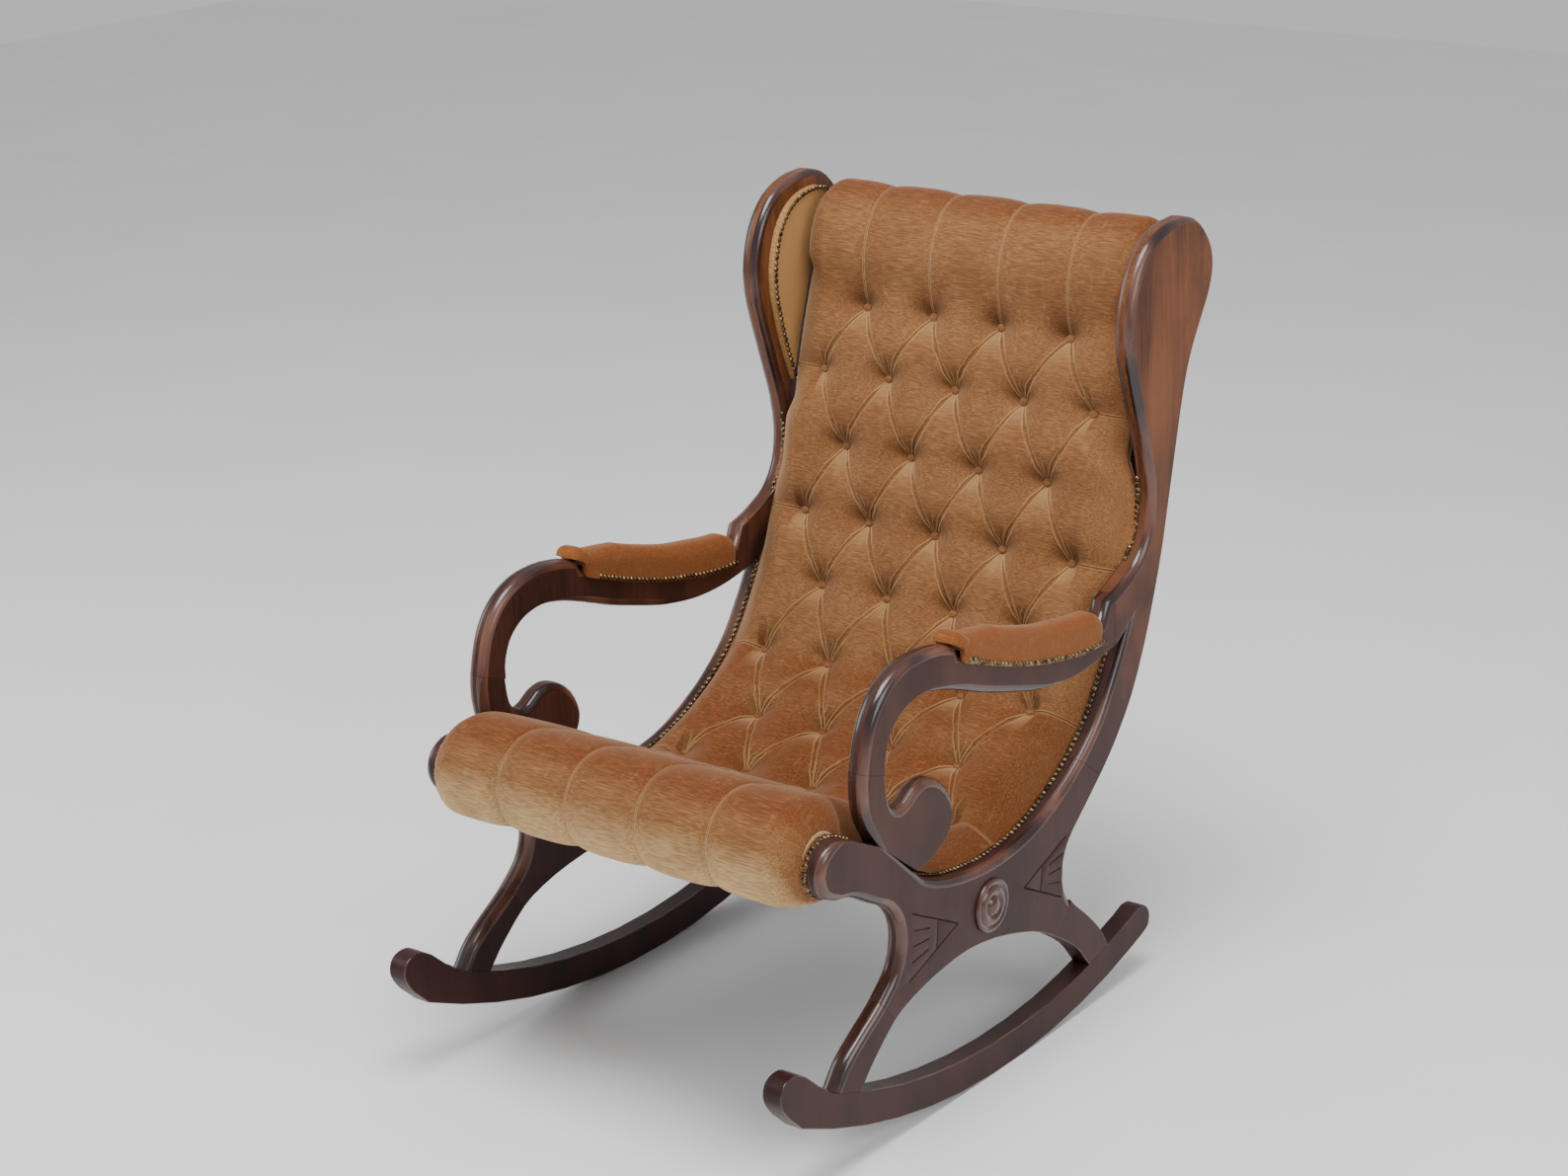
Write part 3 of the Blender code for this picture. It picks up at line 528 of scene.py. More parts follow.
edge_curve = smooth_curve([p[:2] for p in PAD_LINE])
heights = np.interp(np.linspace(0, len(PAD_LINE) - 1, len(edge_curve)), range(len(PAD_LINE)),
                    [p[2] * PADDING for p in PAD_LINE])
edge_places = np.array([tuple(p) for p in edge_curve])
frame_edge = [p[:2] for p in PAD_LINE[:12]] + [(0.283, 0.530), (0.298, 0.568), (0.316, 0.602),
                                               (0.3245, 0.645), (0.331, 0.690), (0.341, 0.735),
                                               (0.354, 0.785), (0.372, 0.840)]
frame_places = np.array([tuple(p) for p in smooth_curve(frame_edge)])
edge_ahead = np.gradient(edge_places, axis=0)
edge_ahead /= np.hypot(*edge_ahead.T)[:, None]
edge_out = np.stack([-edge_ahead[:, 1], edge_ahead[:, 0]], axis=1)
crown_points = edge_places + edge_out * heights[:, None]
pad_points = [tuple(p) for p in crown_points[CURVE_STEPS::CURVE_STEPS // 2]]
# the line reads front to back, so its left is up and out of the padding
crown, crown_out, along = even_points(smooth_curve(ROLL_FRONT + pad_points + ROLL_TOP), STEP)
knob_places = np.array([tuple(p) for p in smooth_curve(KNOB)])
depth_of_edge = np.empty(len(crown))
depth_of_knob = np.empty(len(crown))
for i, p in enumerate(crown):
    depth_of_edge[i] = np.sqrt(((frame_places - p) ** 2).sum(axis=1).min())
    depth_of_knob[i] = np.sqrt(((knob_places - p) ** 2).sum(axis=1).min()) - CLEARANCE


def place_of(point):
    """How far along the crown line a point lies."""
    return along[((crown - np.array(point)) ** 2).sum(axis=1).argmin()]


def row_of(count):
    """The places across the chair of so many buttons."""
    return [(k - (count - 1) / 2) * BUTTON_SPACING for k in range(count)]


# Rows of four and five buttons take turns. Each fold is a line from one end to the other, with
# its depth and whether a button pulls at its first and at its second end.
half_width = inner_x - CLEARANCE / 2
row_places = [place_of(p) for p in ROWS] + [place_of(ROLL_SEAM)]
buttons = []
folds = []
for r, place in enumerate(row_places):
    wide = 5 if r % 2 else 4
    xs = row_of(wide)
    if r < len(ROWS):
        buttons += [(x, place) for x in xs]
    if r == 0:
        folds += [((x, place), (x, along[-1] + 0.05), HEAD_CHANNEL, True, False) for x in xs]
    if r == len(ROWS):
        folds += [((x, place), (x, along[0] - 0.05), CHANNEL, False, False) for x in xs]
    if wide == 5:
        for s in (-1, 1):
            folds.append(((s * xs[-1], place), (s * (half_width + 0.02), place + 0.004), FOLD,
                          True, False))
    if r:
        for x in xs:
            for x_above in row_of(9 - wide):
                if abs(x_above - x) < BUTTON_SPACING * 0.6:
                    folds.append(((x_above, row_places[r - 1]), (x, place), FOLD, True,
                                  r < len(ROWS)))

seat_start = place_of((-0.285, 0.441))
roll_nails_end = place_of((-0.318, 0.456))
head_start = place_of((0.350, 0.870))
nails_start = place_of((-0.16, 0.37))
nails_end = place_of((0.28, 0.66))
wing_start = place_of((0.29, 0.69))
body_columns = 2 * int(round((half_width - EDGE_ROUND) / STEP)) + 1
columns = body_columns + 2 * SIDE_COLUMNS + UNDER_COLUMNS
bpy.ops.object.select_all(action="DESELECT")
bpy.ops.mesh.primitive_grid_add(x_subdivisions=columns, y_subdivisions=len(crown) - 1, size=1.0)
cover = bpy.context.object
cover.name = "tufted_cover"
grid = np.empty(len(cover.data.vertices) * 3)
cover.data.vertices.foreach_get("co", grid)
grid = grid.reshape(-1, 3)
column = np.rint((grid[:, 0] + 0.5) * columns).astype(int)
row = np.rint((grid[:, 1] + 0.5) * (len(crown) - 1)).astype(int)
v = along[row]


def blend_steps(v, places, values, width=0.03):
    """A value that changes smoothly from one stretch of the run to the next."""
    made = np.full(len(v), values[0])
    for place, before, after in zip(places, values, values[1:]):
        t = np.clip((v - place) / width + 0.5, 0, 1)
        made = made + (after - before) * t * t * (3 - 2 * t)
    return made


end_round = blend_steps(v, [seat_start, head_start], [FRONT_END_ROUND, EDGE_ROUND,
                                                      HEAD_END_ROUND], 0.05)
on_roll = blend_steps(v, [seat_start], [1.0, 0.0], 0.03)
on_pad = blend_steps(v, [seat_start, head_start], [0.0, 1.0, 0.0], 0.03)
drop = (on_roll * np.interp(v, along, depth_of_knob) + on_pad * np.interp(v, along, depth_of_edge)
        + (1 - on_roll - on_pad) * HEAD_END_DROP)
half = half_width - blend_steps(v, [wing_start], [0.0, NARROWER], 0.04)
lap = blend_steps(v, [roll_nails_end, nails_start, nails_end], [LAP, 0.0, LAP, 0.0], 0.02)

# each row runs across the top, down the right side, under, and up the left side
out = np.zeros(len(v))
middle = column - (SIDE_COLUMNS + (body_columns - 1) / 2)
on_top = np.abs(middle) <= (body_columns - 1) / 2
x = np.where(on_top, middle / ((body_columns - 1) / 2) * (half - end_round), 0.0)
for sign in (-1, 1):
    start = SIDE_COLUMNS if sign < 0 else SIDE_COLUMNS + body_columns - 1
    share = (column - start) * sign / SIDE_COLUMNS
    there = (share > 0) & (share <= 1)
    part = np.clip(share / 0.8, 0, 1)
    angle = part * math.pi / 2
    over = np.clip((share - 0.8) / 0.2, 0, 1)
    # the pads slope down to their nails, and the two rolls are rounded right over
    across = on_pad * part + (1 - on_pad) * np.sin(angle)
    down = on_pad * (1 - np.sin((1 - part) ** 0.9 * math.pi / 2)) + (1 - on_pad) * (
        1 - np.cos(angle))
    x = np.where(there, sign * (half - end_round * (1 - across) + over * lap), x)
    out = np.where(there, -drop * down, out)
first_under = 2 * SIDE_COLUMNS + body_columns - 1
under = column > first_under
under_share = (column - first_under) / UNDER_COLUMNS
x = np.where(under, (half + lap) * (1 - 2 * under_share), x)
near_end = np.clip(np.abs(x) / half, 0, 1) ** 6
middle_base = np.where(v < seat_start + 0.02, on_roll * ROLL_BASE + (1 - on_roll) * (drop + BASE),
                       drop + BASE)
base = middle_base + (drop + CLEARANCE - middle_base) * near_end
out = np.where(under, -base, out)
seam = column == columns
x = np.where(seam, -(half + lap), x)
out = np.where(seam, -drop, out)

# then the pleats, channels and buttons sink into it
pit = np.zeros(len(v))
broad = np.full(len(v), 1.0)
for (x0, v0), (x1, v1), depth, first, second in folds:
    dx = x1 - x0
    dv = v1 - v0
    length = math.hypot(dx, dv)
    share = np.clip(((x - x0) * dx + (v - v0) * dv) / length ** 2, 0, 1)
    distance = np.hypot(x - x0 - share * dx, v - v0 - share * dv)
    reach = np.full(len(v), 9.0)
    if first:
        reach = np.minimum(reach, share * length)
    if second:
        reach = np.minimum(reach, (1 - share) * length)
    pull = np.exp(-reach / PULL_REACH)
    wide = FOLD_WIDTH + FOLD_FLARE * pull
    pit += ((depth + (FOLD_PULL - depth) * pull) * np.exp(-distance / wide)) ** BLEND
    broad = np.minimum(broad, distance / CROWN_REACH)
for x0, v0 in buttons:
    # the stuffing hangs over each button, so the wall above it is the steeper one
    reach = np.where(v > v0, PIT_REACH_UP, PIT_REACH_DOWN)
    distance = np.hypot((x - x0) / PIT_REACH, (v - v0) / reach)
    pit += (PIT * np.exp(-distance ** 1.25)) ** BLEND
pit = pit ** (1 / BLEND) + CROWN * (1 - np.clip(broad, 0, 1)) ** 2
fade = np.clip((half - np.abs(x)) / 0.02, 0, 1)
flat_under = np.where(under | seam, 0.0, 1.0)
out = out - pit * np.sqrt(fade) * flat_under
gather = np.clip(1 - (half - np.abs(x)) / 0.026, 0, 1) * on_roll * flat_under
out = out - GATHER * gather * (1 + np.sin(v * 620 + 3 * np.sin(v * 171)))
# the cover's slope round its buttons and pleats, kept so that the velvet can paint shade on walls
# that face down and on steep sides, and a highlight on walls that face up
surface = np.zeros((len(crown), columns + 1))
surface[row, column] = out
slope = (np.gradient(surface, along, axis=0)[row, column]
         + 0.35 * np.abs(np.gradient(surface, STEP, axis=1)[row, column]))
slope = np.where(on_top, slope, 0.0)
row_at = np.interp(-v, [-p for p in row_places], range(len(row_places)))
row_at = np.where(v > row_places[0], (row_places[0] - v) / ROW_SPACING, row_at)
row_at = np.where(v < row_places[-1], len(ROWS) + (row_places[-1] - v) / ROW_SPACING, row_at)

normal_y = np.interp(v, along, crown_out[:, 0])
normal_z = np.interp(v, along, crown_out[:, 1])
co = np.stack([x, np.interp(v, along, crown[:, 0]) + normal_y * out,
               np.interp(v, along, crown[:, 1]) + normal_z * out], axis=1)
cover.data.vertices.foreach_set("co", co.ravel())
for name, values in (("along", v), ("across", x), ("row", row_at), ("slope", slope)):
    made = cover.data.attributes.new(name, "FLOAT", "POINT")
    made.data.foreach_set("value", values)


def close_up(piece):
    """Joins a rolled-up grid along its seam and fills its two ends."""
    pick(piece)
    bpy.ops.object.mode_set(mode="EDIT")
    bpy.ops.mesh.select_all(action="SELECT")
    bpy.ops.mesh.remove_doubles(threshold=0.0001)
    bpy.ops.mesh.select_all(action="DESELECT")
    bpy.ops.mesh.select_non_manifold(extend=False)
    bpy.ops.mesh.edge_face_add()
    bpy.ops.mesh.select_all(action="SELECT")
    bpy.ops.mesh.normals_make_consistent(inside=False)
    bpy.ops.object.mode_set(mode="OBJECT")


close_up(cover)
bpy.ops.object.shade_smooth()


def stored(tree, name):
    """A value that the cover's points carry."""
    return add(tree, "ShaderNodeAttribute", set_attribute_name=name).outputs[2]


def pleat_lines(tree):
    """How strongly a pleat's two edges and its hollow show, from the place between buttons. The
    velvet paints the edges pale, partly as a painted highlight, and the hollow with painted
    shade.
    The buttons are a lattice in row numbers: folds lie where either sum below is whole. Lengths
    are in millimetres."""
    def times(first, second):
        return maths(tree, "MULTIPLY", first, second)

    def plus(first, second):
        return maths(tree, "ADD", first, second)

    def minus(first, second):
        return maths(tree, "SUBTRACT", first, second)

    def largest(first, second):
        return maths(tree, "MAXIMUM", first, second)

    def size(value):
        return maths(tree, "ABSOLUTE", value)

    def off_whole(value):
        return minus(value, maths(tree, "ROUND", value))

    spacing = BUTTON_SPACING * 1000
    two_rows = 194.0
    pleat_slant = 0.88
    across = stored(tree, "across")
    row_number = stored(tree, "row")
    x_share = maths(tree, "DIVIDE", across, BUTTON_SPACING)
    half_row = times(row_number, 0.5)
    offs = [off_whole(maths(tree, operation, plus(x_share, 0.5), half_row))
            for operation in ("ADD", "SUBTRACT")]

    # how far the nearest button is, and in which direction
    dx = times(plus(offs[0], offs[1]), spacing / 2)
    dv = times(minus(offs[1], offs[0]), two_rows / 2)
    reach = maths(tree, "SQRT", plus(times(dx, dx), times(dv, dv)))

    # the two edges of each pleat draw together at the buttons, with the hollow between them,
    # which gets painted shade
    wobble = stretched_noise(tree, (1, 1, 1), (0, 0, 0), 30.0, 2.0)
    gap = times(remap(tree, reach, 3.0, 30.0, 0.5, 1.0), remap(tree, wobble, 0.3, 0.7, 2.2, 4.6))
    lines = 0.0
    hollow = 0.0
    for off in offs:
        distance = times(size(off), spacing * pleat_slant)
        from_line = minus(distance, gap)
        lines = largest(remap(tree, size(from_line), 0.2, 1.7, 1.0, 0.0), lines)
        hollow = largest(remap(tree, from_line, -2.2, -0.6, 1.0, 0.0), hollow)

    # short creases fan out of each button, up and down from it
    angle = maths(tree, "ARCTAN2", dx, dv)
    bent = plus(maths(tree, "DIVIDE", angle, 0.40), times(minus(wobble, 0.5), 4.0))
    turn_off = size(off_whole(bent))
    fan = remap(tree, times(times(turn_off, reach), 0.40), 0.2, 1.6, 1.0, 0.0)
    fan = times(fan, remap(tree, plus(reach, times(wobble, 34.0)), 30.0, 64.0, 1.0, 0.0))
    fan = times(fan, remap(tree, reach, 6.0, 13.0))
    fan = times(fan, remap(tree, size(angle), 0.60, 0.80, 0.7, 0.0))
    lines = largest(lines, fan)
    within = remap(tree, size(across), 0.211, 0.214, 1.0, 0.0)
    rows = times(remap(tree, row_number, -0.03, 0.0),
                 remap(tree, row_number, 7.9, 8.05, 1.0, 0.0))
    shown = times(times(within, rows), plus(0.45, remap(tree, reach, 14.0, 50.0, 0.55, 0.0)))
    lines = times(lines, shown)
    hollow = times(hollow, shown)

    # from the outer buttons of a row of five, one crease runs out to the side, with painted shade
    # along it
    odd = minus(half_row, 0.5)
    to_odd = times(size(off_whole(odd)), two_rows)
    outside = times(minus(1.0, within), rows)
    edge_crease = times(remap(tree, size(minus(to_odd, 1.6)), 0.2, 1.4, 0.7, 0.0), outside)
    hollow = largest(hollow, times(remap(tree, to_odd, 0.4, 1.6, 1.0, 0.0), outside))

    # and past the first and last rows, a channel runs on from each button
    stripe = plus(x_share, 0.5)
    off_channel = times(size(off_whole(stripe)), spacing)
    channel = remap(tree, size(minus(off_channel, 1.3)), 0.1, 1.1, 1.0, 0.0)
    channel = times(times(channel, minus(1.0, rows)),
                    remap(tree, size(across), 0.17, 0.18, 0.85, 0.0))
    return largest(largest(lines, edge_crease), channel), hollow


def velvet(name, against_nap_shade, with_nap_sheen, pale, lines=False):
    """Short pile: a painted sheen makes it gold where it faces the sitter's legs and leaves it
    saturated where it faces up, and round a button its slope gives painted shade where it faces
    down and a painted highlight where it faces up. Broken threads of the ground show through."""
    made, tree, shader = new_material(name, with_nap_sheen, 0.9)
    # painted sheen and shade: gold where the cover faces the front and down, darker and more
    # saturated where it faces up
    normal = add(tree, "ShaderNodeNewGeometry").outputs["Normal"]
    facing = add(tree, "ShaderNodeVectorMath", set_operation="DOT_PRODUCT", i0=normal,
                 i1=(0.0, -0.80, -0.60)).outputs[1]
    body = mix_colour(tree, remap(tree, facing, -0.40, 0.42), against_nap_shade, with_nap_sheen)
    if lines:
        # painted sheen: the underside of the front roll, where the pile is seen reversed, is
        # painted pale
        under_roll_sheen = maths(tree, "MULTIPLY", remap(tree, facing, 0.45, 0.98),
                           remap(tree, stored(tree, "along"), seat_start - 0.05, seat_start,
                                 1.0, 0.0))
        body = mix_colour(tree, under_roll_sheen, body, pale)
    threads = stretched_noise(tree, (0.07, 1, 1), (0, 0, 0), 760.0, 3.0)
    cross = stretched_noise(tree, (1, 0.10, 0.10), (0, 0, 0), 640.0, 2.0)
    crush = stretched_noise(tree, (1, 1, 1), (0, 0, 0), 15.0, 5.0)
    worn = stretched_noise(tree, (1.6, 0.6, 0.6), (0, 0, 0), 70.0, 4.0)
    dark = mix_colour(tree, 0.72, body, tuple(c * 0.30 for c in against_nap_shade))
    body = mix_colour(tree, remap(tree, crush, 0.40, 0.68, 0.0, 0.30), body, against_nap_shade)
    body = mix_colour(tree, remap(tree, threads, 0.36, 0.60, 0.60, 0.0), body, dark)
    body = mix_colour(tree, remap(tree, threads, 0.55, 0.80, 0.0, 0.20), body, pale)
    body = mix_colour(tree, remap(tree, cross, 0.56, 0.78, 0.0, 0.08), body, pale)
    body = mix_colour(tree, remap(tree, worn, 0.60, 0.78, 0.0, 0.10), body, pale)
    height = maths(tree, "MULTIPLY", threads, 0.6)
    if lines:
        # painted shade on the pit walls that face down and on steep sides, and a painted
        # highlight on the walls that face up
        rise = stored(tree, "slope")
        body = mix_colour(tree, remap(tree, rise, 0.05, 1.0, 0.0, 0.66), body,
                          tuple(c * 0.45 for c in against_nap_shade))
        body = mix_colour(tree, remap(tree, rise, -0.9, -0.08, 0.30, 0.0), body, pale)
        crease_and_highlight, hollow = pleat_lines(tree)
        # painted shade in each pleat's hollow, and on its edges a pale line that is partly pale
        # pile and partly a painted highlight
        body = mix_colour(tree, maths(tree, "MULTIPLY", hollow, 0.45), body,
                          tuple(c * 0.5 for c in against_nap_shade))
        body = mix_colour(tree, maths(tree, "MULTIPLY", crease_and_highlight, 0.50), body,
                          (0.520, 0.285, 0.105))
        height = maths(tree, "ADD", height, maths(tree, "MULTIPLY", crease_and_highlight, 3.0))
        height = maths(tree, "SUBTRACT", height, maths(tree, "MULTIPLY", hollow, 2.0))
    tree.links.new(body, shader.inputs["Base Color"])
    bump = add(tree, "ShaderNodeBump", Strength=0.8, Distance=0.0005, Height=height)
    tree.links.new(bump.outputs[0], shader.inputs["Normal"])
    shader.inputs["Specular IOR Level"].default_value = 0.12
    shader.inputs["Sheen Weight"].default_value = 0.30
    shader.inputs["Sheen Roughness"].default_value = 0.4
    shader.inputs["Sheen Tint"].default_value = (1.0, 0.80, 0.55, 1.0)
    return made


# the velvet's three colours: dark for pile seen against its lie and for painted shade, gold for
# pile seen with its lie and for painted sheen, pale for worn pile and for painted highlights
AGAINST_NAP_SHADE = (0.150, 0.044, 0.013)
WITH_NAP_SHEEN = (0.250, 0.115, 0.046)
PALE = (0.600, 0.390, 0.180)
cover_velvet = velvet("tufted_velvet", AGAINST_NAP_SHADE, WITH_NAP_SHEEN, PALE, lines=True)
cover.data.materials.append(cover_velvet)
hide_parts("front_roll_padding", "seat_padding", "lumbar_padding", "back_padding",
            "head_roll_padding")
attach(cover, "root")


# ---- Front rail -------------------------------------------------------------------------
# The turned beech rail inside the front roll, with its two ends tapered so that the velvet can
# be drawn in over them to the knob of each side rail.
FRONT_RAIL_RADIUS = 0.053
FRONT_RAIL_END = 0.0335   # radius at its two ends
TAPER_START = 0.170
low, high = (Vector(corner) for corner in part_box("front_rail"))
middle = (low + high) / 2
bpy.ops.object.select_all(action="DESELECT")
bpy.ops.mesh.primitive_cylinder_add(vertices=40, radius=FRONT_RAIL_END, depth=high.x - low.x,
                                    location=middle, rotation=(0, math.pi / 2, 0))
rail = bpy.context.object
rail.name = "front_rail_turned"
bpy.ops.object.transform_apply(location=True, rotation=True, scale=True)
bpy.ops.object.mode_set(mode="EDIT")
for place in (-TAPER_START, TAPER_START):
    bpy.ops.mesh.select_all(action="SELECT")
    bpy.ops.mesh.bisect(plane_co=(place, 0, 0), plane_no=(1, 0, 0))
bpy.ops.object.mode_set(mode="OBJECT")
for vertex in rail.data.vertices:
    if abs(vertex.co.x) < TAPER_START + CLEARANCE:
        away = Vector((0, vertex.co.y - middle.y, vertex.co.z - middle.z)).normalized()
        vertex.co = Vector((vertex.co.x, middle.y, middle.z)) + away * FRONT_RAIL_RADIUS
bpy.ops.object.shade_smooth_by_angle(angle=math.radians(40))
bare_beech = lacquered_wood("bare_beech", (0.42, 0.27, 0.14), (0.62, 0.44, 0.26),
                            (0, math.pi / 2, 0), coat=0.0, rough=0.7)
rail.data.materials.append(bare_beech)
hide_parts("front_rail")
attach(rail, "root")


# ---- Buttons ----------------------------------------------------------------------------
# Thirty-six domed buttons covered in the same velvet, each tied down through the padding with
# twine, so that it sits at the bottom of its own pit.
BUTTON_RADIUS = 0.0066
BUTTON_DOME = 0.55        # its height over its radius
BUTTON_LIFT = 0.0030      # how far its middle stands above the bottom of the pit
plain_velvet = velvet("plain_velvet", AGAINST_NAP_SHADE, WITH_NAP_SHEEN, PALE)
bpy.ops.object.select_all(action="DESELECT")
bpy.ops.mesh.primitive_uv_sphere_add(segments=20, ring_count=10, radius=BUTTON_RADIUS)
button = bpy.context.object
bpy.ops.object.mode_set(mode="EDIT")
bpy.ops.mesh.select_all(action="SELECT")
bpy.ops.transform.resize(value=(1, 1, BUTTON_DOME))
bpy.ops.object.mode_set(mode="OBJECT")
bpy.ops.object.shade_smooth()
button.data.materials.append(plain_velvet)
for number, (bx, bv) in enumerate(buttons, 1):
    p = (np.interp(bv, along, crown[:, 0]), np.interp(bv, along, crown[:, 1]))
    n = Vector((0, np.interp(bv, along, crown_out[:, 0]), np.interp(bv, along, crown_out[:, 1])))
    made = bpy.data.objects.new(f"button_{number:02d}", button.data.copy())
    seat = Vector((bx, *p)) - n * (PIT + CROWN - BUTTON_LIFT)
    made.data.transform(Matrix.Translation(seat) @ n.to_track_quat("Z", "X").to_matrix().to_4x4())
    bpy.context.scene.collection.objects.link(made)
    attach(made, "root")
bpy.data.objects.remove(button)


# ---- Wing pads --------------------------------------------------------------------------
# A flat pad of wadding on the inner face of each wing, covered in velvet that is painted paler
# than the back as painted light.
WING_PAD_ROUND = 0.007
# painted light: the wing pads' velvet gets paler colours than the back's
lit_wing_velvet = velvet("lit_wing_velvet", (0.36, 0.17, 0.055), (0.46, 0.26, 0.10), (0.62, 0.42, 0.20))
for prefix, side in SIDES.items():
    pad = copy_of(f"{prefix}_wing_pad", f"{prefix}_wing_cushion")
    mesh = pad.data
    face_x = min(abs(v.co.x) for v in mesh.vertices)
    weights = []
    for edge in mesh.edges:
        ends = [abs(mesh.vertices[i].co.x) for i in edge.vertices]
        weights.append(1.0 if max(ends) - face_x < 0.0005 else 0.0)
    round_edges(pad, weights, WING_PAD_ROUND)
    bpy.ops.object.shade_smooth_by_angle(angle=math.radians(40))
    pad.data.materials.append(lit_wing_velvet)
    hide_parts(f"{prefix}_wing_pad")
    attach(pad, "root")


# ---- Arm pads ---------------------------------------------------------------------------
# A saddle of padding in the recess of each arm, its velvet drawn down over both faces of the
# board and nailed there, with a short tongue that runs up on to the scroll in front.
ARM_LINE = [(0.204, 0.5115), (0.150, 0.507), (0.080, 0.514), (0.000, 0.535), (-0.060, 0.556),
            (-0.094, 0.5685), (-0.103, 0.5760), (-0.111, 0.5820), (-0.121, 0.5858)]
ARM_RISE = 0.034          # height of the pad over the arm
ARM_BULGE = 0.0085        # how far it stands out past each face of the arm
ARM_FLAP = 0.0125         # how far its velvet hangs down there
ARM_SLIM_END = 0.11       # the pad is lower and its flap longer over this length at the rear
ARM_SLIMMER = 0.013
FLAP_LONGER = 0.010
REAR_ROUND = 0.020
FRONT_ROUND = 0.018
FALL_START = 0.092        # the pad falls away to its front over this length, by this share
FALL_LENGTH = 0.077
FALL = 0.48
TONGUE = 0.026            # length of the tongue
TONGUE_BLEND = 0.018
NAILED_IN = 0.0042        # how far the nails draw the velvet in
LEAST_FLAP = 0.004
SQUARENESS = 0.62         # 1 would make the pad's section an ellipse
ARM_AROUND = 40           # points round the pad, of which this many over its top
ARM_OVER = 28
WOOD_GAP = 0.0005
arm_velvet = velvet("arm_velvet", (0.200, 0.060, 0.016), (0.260, 0.088, 0.026),
                    (0.52, 0.28, 0.12))
arm_centre, arm_out, arm_along = even_points(smooth_curve(ARM_LINE), 0.003)
arm_out = -arm_out
arm_length = arm_along[-1]
board_half = (outer_x - inner_x) / 2
board_middle = (outer_x + inner_x) / 2


def quarter_round(reach, radius):
    """How full a rounded end is, from 0 at its tip to 1 where the rounding ends."""
    return math.sqrt(max(0.0, 1 - (1 - min(reach / radius, 1)) ** 2))


for prefix, side in SIDES.items():
    bpy.ops.object.select_all(action="DESELECT")
    bpy.ops.mesh.primitive_grid_add(x_subdivisions=ARM_AROUND,
                                    y_subdivisions=len(arm_centre) - 1, size=1.0)
    pad = bpy.context.object
    pad.name = f"{prefix}_arm_cushion"
    for vertex in pad.data.vertices:
        i = int(round((vertex.co.x + 0.5) * ARM_AROUND))
        j = int(round((vertex.co.y + 0.5) * (len(arm_centre) - 1)))
        from_rear = arm_along[j]
        from_front = arm_length - from_rear
        rear = quarter_round(from_rear, REAR_ROUND)
        front = quarter_round(from_front, FRONT_ROUND)
        tongue = min(max((TONGUE + TONGUE_BLEND / 2 - from_front) / TONGUE_BLEND, 0), 1)
        tongue *= tongue * (3 - 2 * tongue)
        slim = 1 - min(from_rear / ARM_SLIM_END, 1)
        tall = (ARM_RISE - ARM_SLIMMER * slim * slim) * (0.4 + 0.6 * rear) * (0.42 + 0.58 * front)
        tall *= 1 - FALL * min(max((FALL_START - from_front) / FALL_LENGTH, 0), 1)
        flap = (ARM_FLAP + FLAP_LONGER * slim) * (1 - tongue) - WOOD_GAP * tongue
        wide = board_half + ARM_BULGE * (0.55 + 0.45 * rear) * (0.25 + 0.75 * front)
        wide -= 0.0015 * tongue
        nailed = flap > LEAST_FLAP
        least_wide = board_half + CLEARANCE
        if i <= ARM_OVER:
            # over the top, from one flap to the other
            a = math.pi * i / ARM_OVER
            x = math.cos(a)
            x = math.copysign(abs(x) ** SQUARENESS, x) * wide
            h = -flap + (tall + flap) * math.sin(a) ** SQUARENESS
            if math.sin(a) < 0.55 and nailed:
                pinch = (0.55 - math.sin(a)) / 0.55
                x = math.copysign(max(abs(x) - pinch * NAILED_IN, least_wide), x)
        elif i == ARM_AROUND:
            x = max(wide - NAILED_IN, least_wide) if nailed else wide
            h = -flap
        else:
            # back under it, along the two faces and the top of the arm
            wood = board_half + WOOD_GAP
            corners = [(-wood, -flap), (-wood, 0.0006), (wood, 0.0006), (wood, -flap),
                       (wide - NAILED_IN if nailed else wide, -flap)]
            knot = (i - ARM_OVER) / (ARM_AROUND - ARM_OVER) * 4
            k = min(int(knot), 3)
            x = corners[k][0] + (corners[k + 1][0] - corners[k][0]) * (knot - k)
            h = corners[k][1] + (corners[k + 1][1] - corners[k][1]) * (knot - k)
        y, z = arm_centre[j] + arm_out[j] * h
        vertex.co = (side * board_middle + x, y, z)
    close_up(pad)
    bpy.ops.object.shade_smooth_by_angle(angle=math.radians(60))
    pad.data.materials.append(arm_velvet)
    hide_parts(f"{prefix}_arm_pad")
    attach(pad, "root")


# ---- Nails ------------------------------------------------------------------------------
# Antique brass upholstery nails with domed heads, hammered in edge to edge along every line
# where the velvet ends on the wood.
NAIL_RADIUS = 0.0036
NAIL_PITCH = 0.0078
NAIL_DOME = 0.62          # height of a head over its radius
LARGE_NAIL = 1.35         # size of the two large nails over the others
ARM_RECESS = [(0.206, 0.5095), (0.150, 0.507), (0.080, 0.514), (0.000, 0.535), (-0.060, 0.556),
              (-0.069, 0.5592)]
SEAT_EDGE = [(-0.183, 0.3195), (-0.172, 0.311), (-0.130, 0.295), (-0.075, 0.285),
             (-0.020, 0.283), (0.045, 0.292), (0.105, 0.315), (0.160, 0.348), (0.205, 0.389),
             (0.240, 0.440), (0.258, 0.470), (0.266, 0.485)]
BACK_EDGE = [(0.297, 0.570), (0.319, 0.602), (0.325, 0.645), (0.3225, 0.668)]
